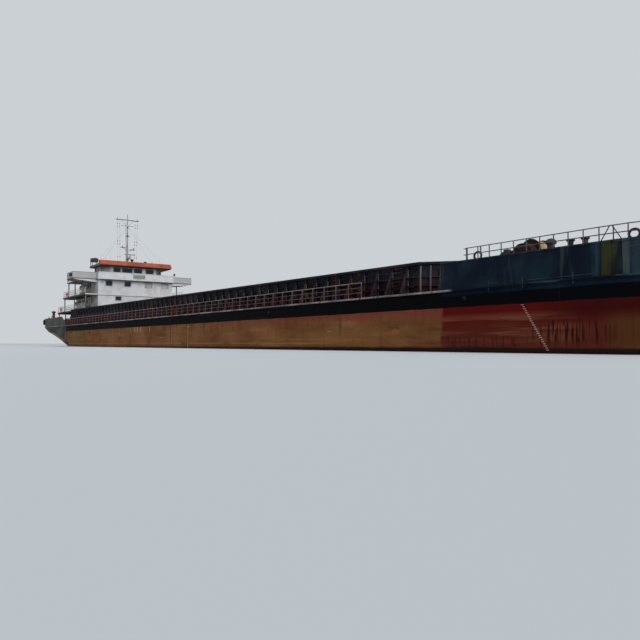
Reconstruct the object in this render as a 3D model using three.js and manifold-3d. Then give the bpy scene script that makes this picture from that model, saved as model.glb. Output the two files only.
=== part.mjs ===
// A self-propelled hopper barge with a stern house, as a 1:10 scale model.
// +X is the bow, +Y port, +Z up. The origin is on the flat bottom, amidships.
// Every length below is the real ship's, in metres. The outer group brings it to 1:10 in millimetres.

import * as THREE from 'three';
import { mergeVertices } from 'three/addons/utils/BufferGeometryUtils.js';
import Module from 'manifold-3d';

const wasm = await Module();
wasm.setup();

const SCALE = 10;
const MILLIMETRES = 1000;

// Driving dimensions.
const LENGTH = 118;
const BEAM = 20;
const DEPTH = 5.4;
const GAP = 0.003;
const RUNNING = 0.055;
const HALF = BEAM / 2;
const STERN = -LENGTH / 2;
const BOW = LENGTH / 2;
const SIDES = [['starboard', -1], ['port', 1]];

// Hold and coaming.
const HOLD = { aft: -33, fore: 39.8, cornerEnd: 42.2, half: 8.7, cornerHalf: 6.8, floor: 1.2 };
const COAMING = { wall: 0.12, topFore: 7.36, topAft: 7.96, screenAft: -42, railWidth: 0.3, railDepth: 0.16 };
const RIB = { z: 6.5, reach: 0.3, depth: 0.07 };
const STAY = { pitch: 1.4, thick: 0.09, reach: 0.72, head: 0.16 };

// Forecastle.
const FORECASTLE = { aft: 42.9, top: 6.86, deck: 6.56, plate: 0.12, railAft: 44.8, railTop: 7.54 };

// House and decks.
const HOUSE = { fore: -36.1, half: 6.2, wall: 0.16, slab: 0.14 };
const DECK_2 = { top: 7.9, aft: -53, fore: -35.8, half: 8.5 };
const DECK_3 = { top: 10.4, aft: -50, fore: -35.9, half: 8.3 };
const BRIDGE = {
  top: 12.9, aft: -47.5, fore: -35, half: 6.4, aftHalf: 8.3, wingAft: -40.4, wingFore: -36.6, bulwark: 0.96,
};
const WHEELHOUSE = { aft: -41.5, fore: -37.3, half: 5.3, chamfer: 1.6, top: 15.1, sill: 14.18, head: 14.98 };
const ROOF = { aft: -41.8, fore: -36.2, half: 6, thick: 0.3, visorTop: 15.94, visorReach: 0.55, visorDepth: 0.5 };

// Machinery.
const SHAFT = { y: 4.2, z: 1.05, skegAft: -44.6, radius: 0.34 };
const PROPELLER = { radius: 0.84, hub: 0.26, length: 0.8, blades: 4 };
const RUDDER = { x: -47, fore: 0.45, aft: 1.5, bottom: 0.3, top: 2.1, thick: 0.22, stock: 0.13 };
const ENGINE = { aft: -41, fore: -36.4, y: 3.4, half: 0.8, height: 2.1 };
const ENGINE_ROOM = { aft: -42, fore: -35, half: 5.6, floor: 2 };

// The ship's finishes, by what each covers.
const paint = (color, roughness = 0.55) => new THREE.MeshStandardMaterial({ color, roughness, metalness: 0.1 });
const BOTTOM = paint(0x6d4630, 0.7);
const BLUE = paint(0x14222e, 0.45);
const COAMING_GREY = paint(0x2c2f3a, 0.6);
const WHITE = paint(0xb9bbbe, 0.5);
const ORANGE = paint(0xa5553f, 0.6);
const RAIL = paint(0x968888, 0.5);
const DARK = paint(0x26282c, 0.6);
const RUST = paint(0x7a4128, 0.8);
const BRONZE = new THREE.MeshStandardMaterial({ color: 0x9a7a42, roughness: 0.35, metalness: 1 });

const ship = new THREE.Group();
ship.scale.setScalar(MILLIMETRES / SCALE);

// Turns a geometry into a solid that can be joined and cut.
function solid(geometry) {
  const bare = geometry.index ? geometry.toNonIndexed() : geometry.clone();
  bare.deleteAttribute('normal');
  bare.deleteAttribute('uv');
  const merged = mergeVertices(bare, 1e-5);
  return new wasm.Manifold(new wasm.Mesh({
    numProp: 3,
    vertProperties: Float32Array.from(merged.attributes.position.array),
    triVerts: Uint32Array.from(merged.index.array),
  }));
}

const join = (...solids) => solids.reduce((whole, next) => whole.add(next));
const cut = (whole, ...tools) => tools.reduce((left, tool) => left.subtract(tool), whole);

// Hangs one named piece in the ship.
function piece(name, shape, material) {
  const mesh = shape.getMesh();
  const geometry = new THREE.BufferGeometry();
  geometry.setAttribute('position', new THREE.BufferAttribute(mesh.vertProperties, 3));
  geometry.setIndex(new THREE.BufferAttribute(mesh.triVerts, 1));
  geometry.computeVertexNormals();
  const node = new THREE.Mesh(geometry, material);
  node.name = name;
  ship.add(node);
}

// A block between two corners, given as pairs along X, Y and Z.
function block([x0, x1], [y0, y1], [z0, z1]) {
  const box = new THREE.BoxGeometry(Math.abs(x1 - x0), Math.abs(y1 - y0), Math.abs(z1 - z0));
  box.translate((x0 + x1) / 2, (y0 + y1) / 2, (z0 + z1) / 2);
  return solid(box);
}

// An outline in X and Y, raised from z0 to z1.
function prismZ(outline, z0, z1) {
  const shape = new THREE.Shape(outline.map(([x, y]) => new THREE.Vector2(x, y)));
  const body = new THREE.ExtrudeGeometry(shape, { depth: z1 - z0, bevelEnabled: false });
  body.translate(0, 0, z0);
  return solid(body);
}

// An outline in X and Z, carried across from y0 to y1.
function prismY(outline, y0, y1) {
  const shape = new THREE.Shape(outline.map(([x, z]) => new THREE.Vector2(x, z)));
  const body = new THREE.ExtrudeGeometry(shape, { depth: Math.abs(y1 - y0), bevelEnabled: false });
  body.rotateX(Math.PI / 2);
  body.translate(0, Math.max(y0, y1), 0);
  return solid(body);
}

// An outline in Y and Z, carried along from x0 to x1.
function prismX(outline, x0, x1) {
  const shape = new THREE.Shape(outline.map(([y, z]) => new THREE.Vector2(y, z)));
  const body = new THREE.ExtrudeGeometry(shape, { depth: x1 - x0, bevelEnabled: false });
  const turn = new THREE.Matrix4().makeBasis(
    new THREE.Vector3(0, 1, 0), new THREE.Vector3(0, 0, 1), new THREE.Vector3(1, 0, 0));
  body.applyMatrix4(turn);
  body.translate(x0, 0, 0);
  return solid(body);
}

// A round bar between two points; a second radius makes it a cone.
function bar(from, to, radius, sides = 8, endRadius = radius) {
  const start = new THREE.Vector3(...from);
  const end = new THREE.Vector3(...to);
  const along = end.clone().sub(start);
  const body = new THREE.CylinderGeometry(endRadius, radius, along.length(), sides);
  body.applyQuaternion(new THREE.Quaternion().setFromUnitVectors(
    new THREE.Vector3(0, 1, 0), along.clone().normalize()));
  body.translate(...start.add(end).multiplyScalar(0.5).toArray());
  return solid(body);
}

// A square bar between two points, with two faces upright.
function strip(from, to, width) {
  const start = new THREE.Vector3(...from);
  const end = new THREE.Vector3(...to);
  const along = end.clone().sub(start);
  const body = new THREE.BoxGeometry(along.length(), width, width);
  const level = Math.hypot(along.x, along.y);
  const turn = new THREE.Matrix4().makeRotationZ(Math.atan2(along.y, along.x));
  turn.multiply(new THREE.Matrix4().makeRotationY(-Math.atan2(along.z, level)));
  body.applyMatrix4(turn);
  body.translate(...start.add(end).multiplyScalar(0.5).toArray());
  return solid(body);
}

// A guard rail along a line of points in X and Y, standing at z: courses at each height, and posts.
function railing(line, z, heights, pitch, width = 0.06) {
  const parts = [];
  const top = Math.max(...heights);
  const post = (x, y) => block([x - width / 2, x + width / 2], [y - width / 2, y + width / 2], [z, z + top]);
  line.slice(1).forEach(([x1, y1], i) => {
    const [x0, y0] = line[i];
    const length = Math.hypot(x1 - x0, y1 - y0);
    const bays = Math.max(1, Math.round(length / pitch));
    const first = i === 0 ? 0 : 1;
    for (let k = first; k <= bays; k += 1) {
      const t = k / bays;
      parts.push(post(x0 + t * (x1 - x0), y0 + t * (y1 - y0)));
    }
    for (const height of heights) {
      const level = z + height - width / 2;
      parts.push(strip([x0, y0, level], [x1, y1, level], width * 0.7));
    }
  });
  return join(...parts);
}

// The hull's plan at each height, with upright sides. Each end has a flat front of its own half
// width, met by a quarter ellipse that starts where the side stops being parallel.
// Columns: height, half beam, stern start, stern end, stern flat.
const LEVELS = [
  [0.00, 9.35, -30.0, -36.0, 5.4],
  [0.30, 9.80, -31.0, -37.4, 5.6],
  [0.70, 9.95, -32.5, -39.0, 5.8],
  [1.96, 9.95, -38.0, -43.5, 6.0],
  [3.00, 9.95, -43.0, -49.0, 6.0],
  [3.90, 9.95, -48.0, -54.0, 6.0],
  [4.50, 9.95, -52.5, -57.0, 6.0],
  [5.22, 9.95, -55.5, -58.9, 6.0],
  [5.24, 10.0, -55.5, STERN, 6.0],
  [DEPTH, 10.0, -55.5, STERN, 6.0],
];
const BOW_PLAN = { start: 52.4, end: 58.6, flat: 5.5 };
// The bow's rake, which cuts the upright sides along a chine. Columns: height, start, end.
const RAKE = [
  [-0.10, 46.0, 50.0],
  [0.00, 46.5, 50.5],
  [0.70, 50.0, 52.6],
  [1.96, 52.6, 54.6],
  [3.20, 53.9, 56.6],
  [4.40, 55.4, 58.6],
  [5.60, 57.5, 60.0],
];
const RAKE_PLAN = { half: 10.4, flat: 6, aft: -70 };
const CORNER_STEPS = 6;

// One quarter of a plan, from the side to the flat end.
function corner(start, end, half, flat) {
  const points = [];
  for (let k = 0; k <= CORNER_STEPS; k += 1) {
    const angle = (k / CORNER_STEPS) * Math.PI / 2;
    points.push([start + (end - start) * Math.sin(angle), flat + (half - flat) * Math.cos(angle)]);
  }
  return points;
}

// A whole plan, counterclockwise from above. Each end is its start, end and flat.
function plan(half, bowEnd, sternEnd) {
  const bow = corner(bowEnd.start, bowEnd.end, half, bowEnd.flat);
  const stern = corner(sternEnd.start, sternEnd.end, half, sternEnd.flat);
  const mirrored = (points) => points.map(([x, y]) => [x, -y]);
  return [...mirrored(bow), ...bow.toReversed(), ...stern, ...mirrored(stern).toReversed()];
}

// A solid through level rings of the same number of points.
function loft(rings) {
  const count = rings[0].length;
  const positions = rings.flatMap((ring) => ring.flat());
  const faces = [];
  for (let level = 0; level < rings.length - 1; level += 1) {
    for (let i = 0; i < count; i += 1) {
      const a = level * count + i;
      const b = level * count + (i + 1) % count;
      faces.push(a, b, b + count, a, b + count, a + count);
    }
  }
  const last = (rings.length - 1) * count;
  for (let i = 1; i < count - 1; i += 1) {
    faces.push(0, i + 1, i);
    faces.push(last, last + i, last + i + 1);
  }
  const body = new THREE.BufferGeometry();
  body.setAttribute('position', new THREE.Float32BufferAttribute(positions, 3));
  body.setIndex(faces);
  return solid(body);
}

const raise = (outline, z) => outline.map(([x, y]) => [x, y, z]);

// Hull.
const upright = loft(LEVELS.map(([z, half, start, end, flat]) => (
  raise(plan(half, BOW_PLAN, { start, end, flat }), z))));
const rake = loft(RAKE.map(([z, start, end]) => raise(plan(RAKE_PLAN.half,
  { start, end, flat: RAKE_PLAN.flat }, { start: RAKE_PLAN.aft + 1, end: RAKE_PLAN.aft, flat: RAKE_PLAN.flat }), z)));
const hull = upright.intersect(rake);
const FAR = 80;
const slice = (x0, x1) => hull.intersect(block([x0, x1], [-FAR, FAR], [-FAR, FAR]));

const middle = slice(HOLD.aft + GAP, HOLD.fore - GAP);
const holdAll = (inset, z0, z1) => block([-FAR, FAR], [-HOLD.half + inset, HOLD.half - inset], [z0, z1]);
piece('double_bottom', middle.intersect(holdAll(GAP, -1, HOLD.floor)), BOTTOM);
for (const [side, hand] of SIDES) {
  const wing = block([-FAR, FAR], [hand * HOLD.half, hand * FAR], [-1, FAR]);
  piece(`side_tank_${side}`, middle.intersect(wing), BOTTOM);
}

const holdEnd = [
  [HOLD.fore - 1, -HOLD.half], [HOLD.fore, -HOLD.half], [HOLD.cornerEnd, -HOLD.cornerHalf],
  [HOLD.cornerEnd, HOLD.cornerHalf], [HOLD.fore, HOLD.half], [HOLD.fore - 1, HOLD.half],
];
const ANCHOR = { x: 57, y: 4.2, foot: 3.65, top: 4.9, half: 0.55 };
const pockets = SIDES.map(([, hand]) => block([ANCHOR.x, FAR],
  [hand * ANCHOR.y - ANCHOR.half - 0.15, hand * ANCHOR.y + ANCHOR.half + 0.15], [3.2, ANCHOR.top + 0.1]));
piece('hull_bow', cut(slice(HOLD.fore, FAR), prismZ(holdEnd, HOLD.floor, FAR), ...pockets), BOTTOM);

// The stern block carries the skegs, the stern tubes and the rudder trunks, and has the engine room.
const engineRoom = block([ENGINE_ROOM.aft, ENGINE_ROOM.fore],
  [-ENGINE_ROOM.half, ENGINE_ROOM.half], [ENGINE_ROOM.floor, FAR]);
let stern = slice(-FAR, HOLD.aft);
for (const [, hand] of SIDES) {
  const y = hand * SHAFT.y;
  const skegEnd = SHAFT.skegAft + 0.1;
  const skeg = prismY([[-34.5, 0.1], [-40, 0.06], [skegEnd, 0.5], [skegEnd, 2.4], [-40, 2]], y - 0.22, y + 0.22);
  const tube = bar([-39, y, SHAFT.z], [SHAFT.skegAft, y, SHAFT.z], SHAFT.radius, 12);
  const trunk = bar([RUDDER.x, y, RUDDER.top + 0.16], [RUDDER.x, y, 3.3], 0.24, 12);
  stern = join(stern, skeg, tube, trunk);
}
piece('hull_stern', cut(stern, engineRoom), BOTTOM);

// Coamings. The top of the side coaming rises towards the stern, where it runs on beside the house as a screen.
const rise = (COAMING.topFore - COAMING.topAft) / (HOLD.fore - HOLD.aft);
const topAt = (x) => COAMING.topFore + rise * (x - HOLD.fore);
const FOOT = DEPTH + GAP;

function sideCoaming(hand) {
  const inner = hand * HOLD.half;
  const outer = hand * (HOLD.half + COAMING.wall);
  const [aft, fore] = [COAMING.screenAft, HOLD.fore - GAP];
  const wall = prismY([[aft, FOOT], [fore, FOOT], [fore, topAt(fore)], [aft, topAt(aft)]], inner, outer);
  const lip = hand * (HOLD.half + COAMING.railWidth);
  const railFoot = (x) => topAt(x) - COAMING.railDepth;
  const rail = prismY([[aft, railFoot(aft)], [fore, railFoot(fore)], [fore, topAt(fore)], [aft, topAt(aft)]],
    inner, lip);
  const ribs = [inner, outer + hand * RIB.reach].sort((a, b) => a - b);
  const rib = block([aft, fore], ribs, [RIB.z - RIB.depth, RIB.z]);
  const parts = [wall, rail, rib];
  const bays = Math.floor((fore - aft) / STAY.pitch);
  for (let k = 0; k < bays; k += 1) {
    const x = aft + (k + 0.5) * (fore - aft) / bays;
    const foot = hand * (HOLD.half + COAMING.wall + STAY.reach);
    const head = hand * (HOLD.half + STAY.head);
    parts.push(prismX([[inner, FOOT], [foot, FOOT], [foot, FOOT + 0.12], [head, topAt(x) - COAMING.railDepth / 2],
      [inner, topAt(x) - COAMING.railDepth / 2]], x - STAY.thick / 2, x + STAY.thick / 2));
  }
  return join(...parts);
}
for (const [side, hand] of SIDES) {
  piece(`coaming_${side}`, sideCoaming(hand), COAMING_GREY);
}

// The fore coaming crosses the hatch and turns back along its cut corners.
const foreTop = COAMING.topFore;
function cornerBand(inset, reach) {
  const out = reach;
  return [
    [HOLD.fore, HOLD.half + inset], [HOLD.fore, HOLD.half + out], [HOLD.fore + 0.3, HOLD.half + out],
    [HOLD.cornerEnd + out, HOLD.cornerHalf + out * 0.6], [HOLD.cornerEnd + out, -HOLD.cornerHalf - out * 0.6],
    [HOLD.fore + 0.3, -HOLD.half - out], [HOLD.fore, -HOLD.half - out], [HOLD.fore, -HOLD.half - inset],
    [HOLD.cornerEnd + inset, -HOLD.cornerHalf], [HOLD.cornerEnd + inset, HOLD.cornerHalf],
  ];
}
piece('coaming_fore', join(
  prismZ(cornerBand(0, COAMING.wall), FOOT, foreTop),
  prismZ(cornerBand(0, COAMING.railWidth), foreTop - COAMING.railDepth, foreTop),
), COAMING_GREY);

const aftAcross = [-HOLD.half + GAP, HOLD.half - GAP];
const aftWall = block([HOLD.aft - COAMING.wall, HOLD.aft], aftAcross, [FOOT, COAMING.topAft]);
const aftRail = block([HOLD.aft - COAMING.railWidth, HOLD.aft], aftAcross,
  [COAMING.topAft - COAMING.railDepth, COAMING.topAft]);
const aftStays = [];
for (let k = -6; k <= 6; k += 1) {
  const y = k * 1.35;
  aftStays.push(prismY([[HOLD.aft, FOOT], [HOLD.aft - STAY.reach, FOOT], [HOLD.aft - STAY.reach, FOOT + 0.12],
    [HOLD.aft - STAY.head, COAMING.topAft - 0.1], [HOLD.aft, COAMING.topAft - 0.1]],
  y - STAY.thick / 2, y + STAY.thick / 2));
}
piece('coaming_aft', join(aftWall, aftRail, ...aftStays), COAMING_GREY);

// Guard rails along both walkways.
const WALK_RAIL = { aft: -41.2, fore: 35.7, y: 9.86, heights: [0.52, 1.0], pitch: 2.8 };
for (const [side, hand] of SIDES) {
  const line = [[WALK_RAIL.aft, hand * WALK_RAIL.y], [WALK_RAIL.fore, hand * WALK_RAIL.y]];
  piece(`guard_rail_${side}`, railing(line, FOOT, WALK_RAIL.heights, WALK_RAIL.pitch), RAIL);
}

// Forecastle: a raised shell with flared bows and a low bulwark round its deck.
const bowPlan = (end, half) => plan(half, { ...BOW_PLAN, end }, { start: 0, end: -1, flat: BOW_PLAN.flat });
const forecastleBody = loft([raise(bowPlan(BOW_PLAN.end, HALF), FOOT), raise(bowPlan(BOW, HALF), FORECASTLE.top)]);
const forecastlePart = block([FORECASTLE.aft, FAR], [-FAR, FAR], [0, FAR]);
const well = prismZ(bowPlan(BOW - 2 * FORECASTLE.plate, HALF - FORECASTLE.plate), FORECASTLE.deck, FAR);
piece('forecastle', cut(forecastleBody.intersect(forecastlePart), well), BLUE);

// The rail runs round the forecastle, just inside the bulwark.
function forecastleLine(inset) {
  const points = corner(BOW_PLAN.start, BOW - inset, HALF - inset, BOW_PLAN.flat);
  const half = [[FORECASTLE.railAft, HALF - inset], ...points];
  return [...half.map(([x, y]) => [x, -y]), ...half.toReversed()];
}
const foreRailFoot = FORECASTLE.top + GAP;
const foreRailTop = FORECASTLE.railTop - foreRailFoot;
piece('forecastle_rail', railing(forecastleLine(0.06), foreRailFoot,
  [foreRailTop * 0.5, foreRailTop], 1.9), RAIL);

// Anchor gear, one set on each side of the forecastle.
const FORE_DECK = FORECASTLE.deck + GAP;
const WINDLASS = { x: 46.3, y: 6, drum: 0.52, drumHalf: 0.55, axis: 0.95, cheek: 0.16 };
for (const [side, hand] of SIDES) {
  const y = hand * WINDLASS.y;
  const z = FORE_DECK + WINDLASS.axis;
  const cheeks = [-1, 1].map((end) => {
    const inner = y + end * (WINDLASS.drumHalf + RUNNING);
    return prismY([[45.4, FORE_DECK], [47.2, FORE_DECK], [46.7, z + 0.2], [45.9, z + 0.2]],
      inner, inner + end * WINDLASS.cheek);
  });
  const bed = block([43.7, 47.4], [y - 0.95, y + 0.95], [FORE_DECK, FORE_DECK + 0.16]);
  const gear = block([45.3, 46.9], [y + hand * 0.78, y + hand * 1.4], [FORE_DECK, z + 0.35]);
  const motor = block([43.9, 44.8], [y - 0.6, y + 0.5], [FORE_DECK, z + 0.3]);
  const bore = bar([WINDLASS.x, y - 0.78, z], [WINDLASS.x, y + 0.78, z], 0.13, 12);
  piece(`windlass_frame_${side}`, cut(join(bed, gear, motor, ...cheeks), bore), RUST);
  const flanges = [-1, 1].map((end) => bar([WINDLASS.x, y + end * 0.42, z],
    [WINDLASS.x, y + end * WINDLASS.drumHalf, z], 0.66, 16));
  const axle = bar([WINDLASS.x, y - 0.74, z], [WINDLASS.x, y + 0.74, z], 0.125, 12);
  const drum = bar([WINDLASS.x, y - 0.5, z], [WINDLASS.x, y + 0.5, z], WINDLASS.drum, 16);
  piece(`windlass_drum_${side}`, join(drum, axle, ...flanges), RUST);
}

// Twin bollards with caps on a base plate.
function bollards(x, y, foot) {
  const base = block([x - 0.65, x + 0.65], [y - 0.22, y + 0.22], [foot, foot + 0.08]);
  const posts = [-0.38, 0.38].flatMap((along) => [
    bar([x + along, y, foot], [x + along, y, foot + 0.8], 0.13, 10),
    bar([x + along, y, foot + 0.74], [x + along, y, foot + 0.84], 0.2, 10),
  ]);
  return join(base, ...posts);
}
const MAIN_DECK = DEPTH + GAP;
for (const [side, hand] of SIDES) {
  piece(`bollards_fore_${side}`, bollards(50.7, hand * 8.9, FORE_DECK), DARK);
  piece(`bollards_aft_${side}`, bollards(-55, hand * 8.2, MAIN_DECK), DARK);
}

// Mushroom ventilators.
function ventilator(x, y, foot, height, radius) {
  return join(
    bar([x, y, foot], [x, y, foot + height], radius, 10),
    bar([x, y, foot + height - 0.14], [x, y, foot + height], radius * 1.7, 12),
    bar([x, y, foot + height], [x, y, foot + height + 0.14], radius * 1.7, 12, radius * 0.5),
  );
}
for (const [side, hand] of SIDES) {
  piece(`ventilator_fore_${side}`, ventilator(48.9, hand * 8.4, FORE_DECK, 0.95, 0.16), DARK);
}
piece('ventilator_aft', ventilator(-53.2, -9.1, MAIN_DECK, 2.7, 0.22), RUST);

// Hatches with hinged lids.
const HATCH = { half: 0.5, wall: 0.07, height: 0.5, lid: 0.07, barrel: 0.07, drop: 0.02 };
function hatchCoaming(x, y, foot) {
  const h = HATCH.half;
  const outer = block([x - h, x + h], [y - h, y + h], [foot, foot + HATCH.height]);
  const inside = h - HATCH.wall;
  return cut(outer, block([x - inside, x + inside], [y - inside, y + inside], [foot + 0.06, FAR]));
}
function hatchLid(x, y, foot) {
  const h = HATCH.half;
  const rim = foot + HATCH.height;
  const barrelX = x - h - HATCH.barrel - GAP;
  const plate = block([barrelX, x + h + 0.05], [y - h - 0.03, y + h + 0.03],
    [rim + RUNNING, rim + RUNNING + HATCH.lid]);
  const axis = rim - HATCH.drop;
  const barrel = bar([barrelX, y - h * 0.8, axis], [barrelX, y + h * 0.8, axis], HATCH.barrel, 12);
  const lugs = [-1, 1].map((end) => block([barrelX - 0.05, barrelX + 0.05],
    [y + end * h * 0.4, y + end * h * 0.7], [axis, rim + RUNNING + HATCH.lid / 2]));
  return join(plate, barrel, ...lugs);
}
for (const [name, x, y, foot] of [['fore', 50, 0, FORE_DECK], ['aft', -56.2, 2.5, MAIN_DECK]]) {
  piece(`hatch_${name}`, hatchCoaming(x, y, foot), DARK);
  piece(`hatch_lid_${name}`, hatchLid(x, y, foot), DARK);
}

// Stockless anchors, drawn up into the pockets in the bow.
for (const [side, hand] of SIDES) {
  const y = hand * ANCHOR.y;
  const back = ANCHOR.x + GAP;
  const shank = block([back, back + 0.2], [y - 0.1, y + 0.1], [ANCHOR.foot, ANCHOR.top]);
  const crown = block([back, back + 0.42], [y - ANCHOR.half, y + ANCHOR.half], [ANCHOR.foot, ANCHOR.foot + 0.26]);
  const flukes = [-1, 1].map((end) => prismX([[y + end * 0.22, ANCHOR.foot + 0.2], [y + end * 0.5, ANCHOR.foot + 0.2],
    [y + end * 0.4, ANCHOR.foot + 1]], back + 0.2, back + 0.36));
  piece(`anchor_${side}`, join(shank, crown, ...flukes), DARK);
}

// Bulwark round the stern, open in front.
const STERN_BULWARK = { top: 6.86, fore: -41.4, slope: 2.2, thick: 0.1 };
const sternPlan = (inset) => plan(HALF - inset, { start: 0, end: 1, flat: BOW_PLAN.flat },
  { start: -55.5, end: STERN + inset, flat: 6 });
const bulwarkOuter = prismZ(sternPlan(0), FOOT, STERN_BULWARK.top);
const bulwarkInner = prismZ(sternPlan(STERN_BULWARK.thick), 0, FAR);
const bulwarkEnd = prismY([[STERN_BULWARK.fore, 0], [FAR, 0], [FAR, FAR],
  [STERN_BULWARK.fore - STERN_BULWARK.slope, FAR],
  [STERN_BULWARK.fore - STERN_BULWARK.slope, STERN_BULWARK.top], [STERN_BULWARK.fore, DEPTH + 0.5]], -FAR, FAR);
piece('stern_bulwark', cut(bulwarkOuter, bulwarkInner, bulwarkEnd), DARK);

// House walls, one storey each: four walls with window and door openings.
// Columns: storey, foot, top, aft end.
const STOREYS = [
  ['1', DEPTH, DECK_2.top - HOUSE.slab, -52.4],
  ['2', DECK_2.top, DECK_3.top - HOUSE.slab, -49.4],
  ['3', DECK_3.top, BRIDGE.top - HOUSE.slab, -46.2],
];
// Front windows by storey. Columns: storey, centre Y, width, sill, head.
const FRONT_WINDOWS = [
  ['2', -2.95, 1.0, 9.45, 10.15],
  ['3', -4.5, 1.1, 11.76, 12.6], ['3', -1.45, 1.1, 11.76, 12.6], ['3', 2.1, 1.2, 11.76, 12.6],
  ['3', 4.95, 1.2, 11.76, 12.6],
];
// Side windows by storey. Columns: storey, centre X, width, sill, head.
const SIDE_WINDOWS = [
  ['1', -49.8, 0.9, 6.7, 7.4], ['1', -47.6, 0.9, 6.7, 7.4], ['1', -41.5, 0.9, 6.7, 7.4],
  ['1', -39, 0.9, 6.7, 7.4],
  ['2', -47.2, 0.8, 9.1, 9.9], ['2', -42.5, 0.8, 9.1, 9.9], ['2', -39.5, 0.8, 9.1, 9.9],
  ['3', -43.6, 0.9, 11.7, 12.5], ['3', -40.4, 0.9, 11.7, 12.5],
];
// Doors: name, storey, hinge X, direction to the free edge, wall's Y, foot.
const DOOR = { width: 0.74, height: 1.85, sill: 0.22, leaf: 0.06, overlap: 0.05, barrel: 0.07 };
const DOORS = [
  ['house', '1', -44.2, -1, HOUSE.half, DEPTH],
  ['wheelhouse', 'w', -39, -1, WHEELHOUSE.half, BRIDGE.top],
];
function doorway([, , hinge, way, wallY, foot], hand) {
  return block([hinge + way * DOOR.overlap, hinge + way * (DOOR.width - DOOR.overlap)],
    [hand * (wallY - 0.5), hand * (wallY + 0.5)], [foot + DOOR.sill, foot + DOOR.sill + DOOR.height]);
}
for (const [storey, foot, top, aft] of STOREYS) {
  const outer = block([aft, HOUSE.fore], [-HOUSE.half, HOUSE.half], [foot + GAP, top - GAP]);
  const inner = block([aft + HOUSE.wall, HOUSE.fore - HOUSE.wall],
    [-HOUSE.half + HOUSE.wall, HOUSE.half - HOUSE.wall], [0, FAR]);
  const openings = [];
  for (const [, y, width, sill, head] of FRONT_WINDOWS.filter(([on]) => on === storey)) {
    openings.push(block([HOUSE.fore - 1, HOUSE.fore + 1], [y - width / 2, y + width / 2], [sill, head]));
  }
  for (const [, x, width, sill, head] of SIDE_WINDOWS.filter(([on]) => on === storey)) {
    openings.push(block([x - width / 2, x + width / 2], [-FAR, FAR], [sill, head]));
  }
  for (const door of DOORS.filter(([, on]) => on === storey)) {
    openings.push(doorway(door, -1), doorway(door, 1));
  }
  piece(`house_storey_${storey}`, cut(outer, inner, ...openings), WHITE);
}

// Decks 2 and 3, with the pillars that carry their edges.
function deckSlab({ top, aft, fore, half }, below, pillars) {
  const slab = block([aft, fore], [-half, half], [top - HOUSE.slab, top]);
  const legs = pillars.flatMap((x) => [-1, 1].map((hand) => bar([x, hand * (half - 0.2), below + GAP],
    [x, hand * (half - 0.2), top - HOUSE.slab / 2], 0.09, 8)));
  return join(slab, ...legs);
}
piece('deck_2', deckSlab(DECK_2, DEPTH, [-52.5, -48, -42, -36.3]), WHITE);
piece('deck_3', deckSlab(DECK_3, DECK_2.top, [-49.5, -43, -36.3]), WHITE);

// Bridge deck with its wings, and the pillars under the wings.
const wingHalf = HALF;
const bridgeOutline = [
  [BRIDGE.aft, -BRIDGE.aftHalf], [BRIDGE.wingAft, -BRIDGE.aftHalf], [BRIDGE.wingAft, -wingHalf],
  [BRIDGE.wingFore, -wingHalf], [BRIDGE.wingFore, -BRIDGE.half], [BRIDGE.fore - 0.5, -BRIDGE.half],
  [BRIDGE.fore, -BRIDGE.half + 0.5],
  [BRIDGE.fore, BRIDGE.half - 0.5], [BRIDGE.fore - 0.5, BRIDGE.half],
  [BRIDGE.wingFore, BRIDGE.half], [BRIDGE.wingFore, wingHalf],
  [BRIDGE.wingAft, wingHalf], [BRIDGE.wingAft, BRIDGE.aftHalf], [BRIDGE.aft, BRIDGE.aftHalf],
];
const WING_LEGS = { y: 8.04, x: [-38.5, -43, -47.1] };
const wingLegs = WING_LEGS.x.flatMap((x) => [-1, 1].map((hand) => bar([x, hand * WING_LEGS.y, DECK_3.top + GAP],
  [x, hand * WING_LEGS.y, BRIDGE.top - 0.05], 0.09, 8)));
piece('bridge_deck', join(prismZ(bridgeOutline, BRIDGE.top - HOUSE.slab, BRIDGE.top), ...wingLegs), WHITE);

// Bulwark along the front of the bridge and round each wing.
const bulwarkFoot = BRIDGE.top + GAP;
const inset = (outline, by) => outline.map(([x, y]) => [x - Math.sign(x + 38.4) * by, y - Math.sign(y) * by]);
const bulwarkPlate = 0.08;
const bridgeRing = cut(
  prismZ(bridgeOutline, bulwarkFoot, BRIDGE.top + BRIDGE.bulwark),
  prismZ(inset(bridgeOutline, bulwarkPlate), 0, FAR),
  block([-FAR, BRIDGE.wingAft + 0.1], [-FAR, FAR], [0, FAR]),
);
// Its guard rail runs on along the aft edges of the wings and round the after part of the deck.
const DECK_RAIL = [0.52, 1.0];
const bridgeRailX = BRIDGE.wingAft + 0.12;
const bridgeRailY = BRIDGE.aftHalf - 0.08;
const bridgeRail = railing([
  [bridgeRailX, -wingHalf + 0.04], [bridgeRailX, -bridgeRailY], [BRIDGE.aft + 0.1, -bridgeRailY],
  [BRIDGE.aft + 0.1, bridgeRailY], [bridgeRailX, bridgeRailY], [bridgeRailX, wingHalf - 0.04],
], bulwarkFoot, DECK_RAIL, 3.6);
piece('bridge_bulwark', join(bridgeRing, bridgeRail), WHITE);

// Wheelhouse: chamfered front corners and windows all round.
function wheelhouseOutline(by) {
  const { aft, fore, half, chamfer } = WHEELHOUSE;
  const turn = by * Math.tan(Math.PI / 8);
  return [
    [aft + by, -half + by], [fore - chamfer - turn, -half + by], [fore - by, -half + chamfer + turn],
    [fore - by, half - chamfer - turn], [fore - chamfer - turn, half - by], [aft + by, half - by],
  ];
}
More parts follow.
